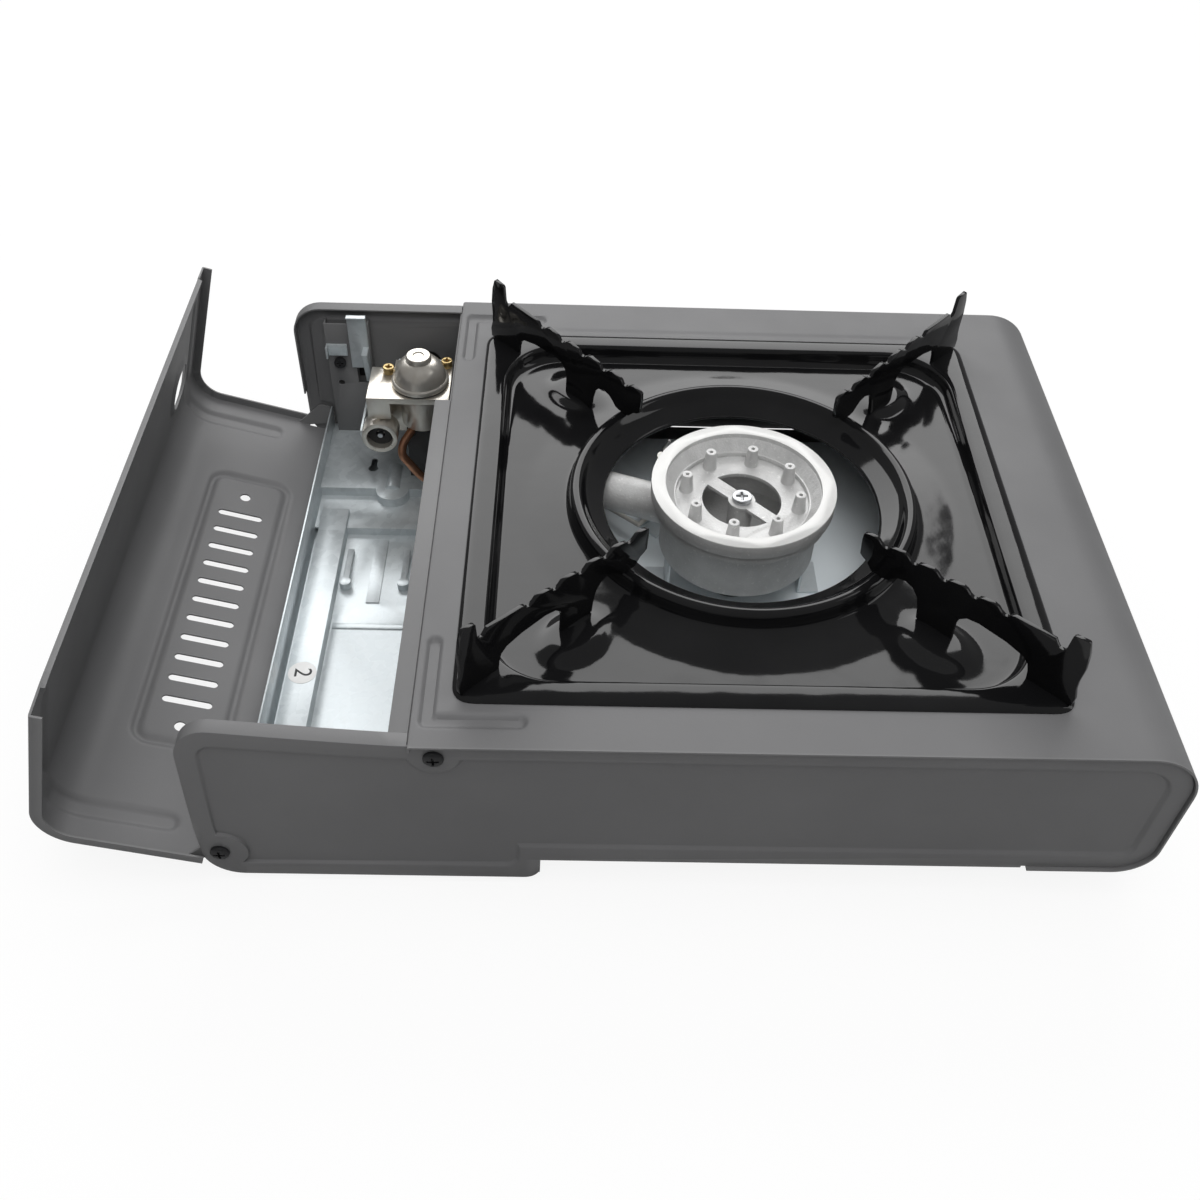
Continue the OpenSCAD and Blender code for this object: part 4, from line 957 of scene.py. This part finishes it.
def finOutline(v):
    out, rim, ring, top, field = v["out"], v["rim"], v["ring"], v["ringTop"], v["field"]
    mouth, tab = v["mouth"], v["tab"]

    def saddle(r):
        return v["saddle"] + (r - mouth) * v["slope"]

    line = [(mouth + 0.5, top + 5), (mouth + 1.8, top + 4), (mouth + 4, top + 3), (ring - 6, top),
            (ring - 0.6, top)]
    line += [(ring + 1.6, top + 0.6), (ring + 3.4, top + 2.6), (ring + 5.6, top + 4.4),
             (ring + 8.6, top + 5.2), (ring + 12, top + 4.2), (ring + 14.6, top + 1.2),
             (ring + 15.8, top - 3), (ring + 16.5, field + 1.6), (ring + 19, field + 1.6),
             (ring + 19, field + 1.9), (ring + 29, field + 1.9),
             (ring + 29.4, field + 1.4), (ring + 32, field + 1.4)]
    line += [(ring + 31.6, top), (ring + 32.6, top + 3.4), (ring + 35.2, top + 5.8), (ring + 40, top + 6.8),
             (out - 31, top + 6.4), (out - 24, top + 5), (out - 21.4, top + 3), (out - 20.4, top),
             (out - 20, rim + 0.02), (out - 2, rim + 0.02)]
    seat = saddle(out)
    line += [(out - 1.7, rim + 4), (out - 2.8, rim + 8), (out - 3, rim + 12), (out - 2.6, tab - 12),
             (out - 3.4, tab - 5), (out - 4.8, tab - 0.5), (out - 5.4, tab), (out - 10, tab - 0.7),
             (out - 10.7, tab - 1.4), (out - 11.2, seat - 2.4), (out - 12, seat - 3.5),
             (out - 13.6, seat - 3.7), (out - 14.8, seat - 2.4), (out - 15.8, seat - 1)]
    bites = [(2.6, 0), (1.0, -0.6), (0.2, -2.0), (-1.2, -2.3), (-2.8, -1.6), (-4.2, -0.4), (-6, 0.05)]
    for k in range(v["notches"]):
        r = ring + 48.5 - v["notchPitch"] * k
        line += [(r + along, saddle(r) + up) for along, up in bites]
    low = saddle(mouth)
    line += [(mouth + 1.5, low), (mouth + 0.2, low - 0.7), (mouth, low - 4)]
    return line


def makeFin(index, v):
    half = v["thick"] / 2 * mm
    outline = [Vector((r * mm, 0, z * mm)) for r, z in finOutline(v)]
    fin = solid(f"support_fin_{index + 1}", outline, (0, -half, 0), (0, half, 0), "enamel", 50)
    turned = Matrix.Rotation(math.radians(45 + 90 * index), 4, "Z")
    fin.data.transform(Matrix.Translation(at(0, 0, 0)) @ turned)
    roundEdges(fin, 0.4 * mm, 3, 55)
    settle(fin, 50)
    done(fin, "pan", f"pan_support_{index + 1}")


for index in range(4):
    makeFin(index, finValues)
print("supports made")


def underside(node):
    # middle of a node's underside
    low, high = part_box(node)
    return Vector(((low.x + high.x) / 2, (low.y + high.y) / 2, low.z))


def makeDome():
    profile = [(12.8, 0), (13.2, 0.3), (13.2, 1.8), (12.9, 2.3), (12.2, 2.6), (12.0, 3.4), (11.8, 4.8),
               (11.3, 6.5), (10.4, 8.2), (9.0, 9.9), (7.5, 11.1), (6.5, 11.6), (5.9, 11.9), (5.65, 12.5),
               (5.6, 14.0), (5.2, 14.45), (2.6, 14.5), (2.2, 14.0), (0.01, 13.9)]
    cap = lathe("regulator_cap", underside("regulator_dome"), (0, 0, 1),
                [(r * mm, z * mm) for r, z in profile], 72, "nickel", 40)
    done(cap, "housing", "regulator_dome")


makeDome()


def tubeAlong(name, points, radius, finish, sides=20, samples=14):
    # round tube on a smooth curve through the points
    route = []
    last = len(points) - 1
    for i in range(last):
        p0, p1, p2, p3 = points[max(0, i - 1)], points[i], points[i + 1], points[min(last, i + 2)]
        for k in range(samples):
            t = k / samples
            route.append(0.5 * ((2 * p1) + (p2 - p0) * t + (2 * p0 - 5 * p1 + 4 * p2 - p3) * t * t
                                + (3 * p1 - p0 - 3 * p2 + p3) * t * t * t))
    route.append(points[-1])
    bm = bmesh.new()
    normal = Vector((0, 0, 1))
    rows = []
    for i, p in enumerate(route):
        along = (route[min(i + 1, len(route) - 1)] - route[max(i - 1, 0)]).normalized()
        normal = (normal - along * normal.dot(along)).normalized()
        across = along.cross(normal)
        rows.append([p + radius * (math.cos(a) * normal + math.sin(a) * across) for a in around(sides)])
    table = ringGrid(bm, rows)
    bm.faces.new(table[0][::-1])
    bm.faces.new(table[-1])
    outward(bm)
    return newPiece(name, bm, finish, 40)


def makeGasTube():
    route = [(-145, 90, 44), (-148.6, 84, 41), (-149, 80.5, 37), (-146.2, 80.5, 31.7), (-141, 80.5, 24),
             (-135, 80.5, 19.6), (-126, 80, 18.5), (-119, 77, 18.8), (-116.8, 66, 21.5), (-116.5, 55, 27),
             (-116.5, 46, 38), (-116.5, 42.6, 50), (-116.5, 42.4, 64), (-114.6, 41.7, 69.3)]
    tube = tubeAlong("copper_tube", [at(*point) for point in route], 0.0020, "copper")
    done(tube, "housing", "gas_tube")


makeGasTube()


labelValues = {"radius": 6.0, "thick": 0.15, "figure": "2", "figureSize": 10.5}


def makeSticker(v):
    centre = underside("rail_sticker")
    r, thick = v["radius"], v["thick"]
    profile = [(r, 0.02), (r, thick - 0.03), (r - 0.1, thick), (0.01, thick)]
    profile = [(a * mm, b * mm) for a, b in profile]
    disc = lathe("inspection_label", centre, (0, 0, 1), profile, 48, "label", 40)
    done(disc, "housing", "rail_sticker")
    figure = bpy.data.curves.new("figure", "FONT")
    figure.body = v["figure"]
    figure.size = v["figureSize"] * mm
    figure.extrude = 0.00001
    figure.align_x = "CENTER"
    figure.align_y = "CENTER"
    holder = linked("label_figure", figure)
    depsgraph = bpy.context.evaluated_depsgraph_get()
    mesh = bpy.data.meshes.new_from_object(holder.evaluated_get(depsgraph))
    bpy.data.objects.remove(holder)
    above = Matrix.Translation(centre + Vector((0, 0, (thick + 0.02) * mm)))
    mesh.transform(above @ Matrix.Rotation(math.radians(-90), 4, "Z"))
    mesh.materials.clear()
    mesh.materials.append(finishes["ink"])
    done(linked("label_figure", mesh), "housing", "rail_sticker")


makeSticker(labelValues)

knobValues = {"x": -140, "z": 54, "radius": 18, "depth": 16.8, "back": 133.1, "ribs": 28,
              "scoop": 16.5, "scoopFrom": 7.5}


def makeKnob(v):
    # knob turned about +Y with a grip bar and a knurled skirt
    r, d = v["radius"], v["depth"]
    profile = [(3.0, 0), (r - 0.6, 0), (r - 0.2, 0.5), (r - 0.2, 3.4), (r - 0.8, 4.0), (r - 2.2, 4.3),
               (r - 3.2, d - 1.2), (r - 4.2, d - 0.2), (r - 5.2, d), (0.01, d)]
    profile = [(a * mm, b * mm) for a, b in profile]
    knob = lathe("knob_body", Vector(), (0, 0, 1), profile, 96, "blackPlastic", 40)
    cut = bmesh.new()
    for side in (-1, 1):
        scoop = v["scoop"] * mm
        outline = [Vector((side * (r + 6) * mm + scoop * math.cos(a), scoop * math.sin(a) * 1.25, 0))
                   for a in around(64)]
        prism(cut, outline, Vector((0, 0, v["scoopFrom"] * mm)), Vector((0, 0, 0.03)))
    outward(cut)
    cutIt(knob, newPiece("knob_cut", cut, "blackPlastic"))
    roundEdges(knob, 0.5 * mm, 3, 35)
    settle(knob, 40)
    place = Matrix.Translation(at(v["x"], v["back"], v["z"])) @ Matrix.Rotation(math.radians(-90), 4, "X")
    knob.data.transform(place)
    done(knob, "knob", "control_knob")
    profile = [(0.00055, 0), (0.00065, 0.0004), (0.00065, 0.0024), (0.00045, 0.0028)]
    ribs = lathe("knob_ribs", Vector((0, 0, 0.0006)), (0, 0, 1), profile, 10, "blackPlastic", 40)
    repeated(ribs, "blackPlastic", Count=v["ribs"], Radius=(r - 0.2) * mm, Turn=2 * math.pi / v["ribs"])
    ribs.data.transform(place)
    done(ribs, "knob", "control_knob")
    corners = [(-0.7, 6), (0.7, 6), (0.7, 12), (-0.7, 12)]
    outline = [Vector((x * mm, y * mm, (d - 0.02) * mm)) for x, y in corners]
    mark = solid("knob_pointer", outline, (0, 0, -0.0004), (0, 0, 0.0002), "label", 40)
    mark.data.transform(place)
    done(mark, "knob", "control_knob")


makeKnob(knobValues)
print("small pieces made")

stageValues = {"floor": (0.5, 0.5, 0.5), "glow": 1.16, "glowPart": 0.76, "world": 0.18}
bm = bmesh.new()
bmesh.ops.create_grid(bm, x_segments=1, y_segments=1, size=6)
floorMesh = bpy.data.meshes.new("studio_floor")
bm.to_mesh(floorMesh)
bm.free()
studioFloor = linked("studio_floor", floorMesh)
studioFloor.location.z = -0.5 * mm


def floorMaterial(v):
    # grey to the lamps and to mirror images, near white to the camera
    t = Tree("studioFloor")
    t.finish((*v["floor"], 1), 0.9)
    glow = t.add("ShaderNodeEmission", {"Strength": v["glow"]})
    rays = t.add("ShaderNodeLightPath").outputs
    seen = t.math("MAXIMUM", rays["Is Camera Ray"], rays["Is Transmission Ray"])
    blend = t.add("ShaderNodeMixShader", {"Fac": t.math("MULTIPLY", seen, v["glowPart"]),
                                          1: t.shader.outputs[0], 2: glow.outputs[0]})
    t.nt.links.new(blend.outputs[0], t.nt.nodes["Material Output"].inputs["Surface"])
    return t.mat


floorMesh.materials.append(floorMaterial(stageValues))

world = bpy.data.worlds.new("studio")
bpy.context.scene.world = world
world.use_nodes = True
wt = world.node_tree
sky = wt.nodes["Background"]
sky.inputs["Color"].default_value = (1, 1, 1, 1)
sky.inputs["Strength"].default_value = stageValues["world"]
white = wt.nodes.new("ShaderNodeBackground")
white.inputs["Strength"].default_value = 1.0
lightPath = wt.nodes.new("ShaderNodeLightPath")
worldMix = wt.nodes.new("ShaderNodeMixShader")
wt.links.new(lightPath.outputs["Is Camera Ray"], worldMix.inputs["Fac"])
wt.links.new(sky.outputs[0], worldMix.inputs[1])
wt.links.new(white.outputs[0], worldMix.inputs[2])
wt.links.new(worldMix.outputs[0], wt.nodes["World Output"].inputs["Surface"])

lampValues = {
    # name: (place in mm, aimed at in mm, width and height in m, watts)
    "back_softbox": ((-130, 1010, 870), (0, 0, 60), 1.75, 0.85, 11),
    "top_softbox": ((60, -120, 1300), (0, -60, 60), 1.0, 0.8, 7.5),
    "front_softbox": ((-80, -780, 1120), (0, 0, 60), 0.9, 0.6, 4.5),
    "right_strip": ((1000, -100, 500), (0, 0, 60), 0.25, 1.2, 0.9),
}
for name, (place, target, width, height, power) in lampValues.items():
    data = bpy.data.lights.new(name, "AREA")
    data.shape = "RECTANGLE"
    data.size, data.size_y = width, height
    data.energy = power
    lamp = linked(name, data)
    lamp.location = at(*place)
    lamp.rotation_euler = (at(*target) - at(*place)).to_track_quat("-Z", "Y").to_euler()
    # the fills above and in front give no mirror image in the enamel
    lamp.visible_glossy = name not in ("front_softbox", "top_softbox")

bpy.context.scene.view_settings.view_transform = "Standard"
print("stage and light made")
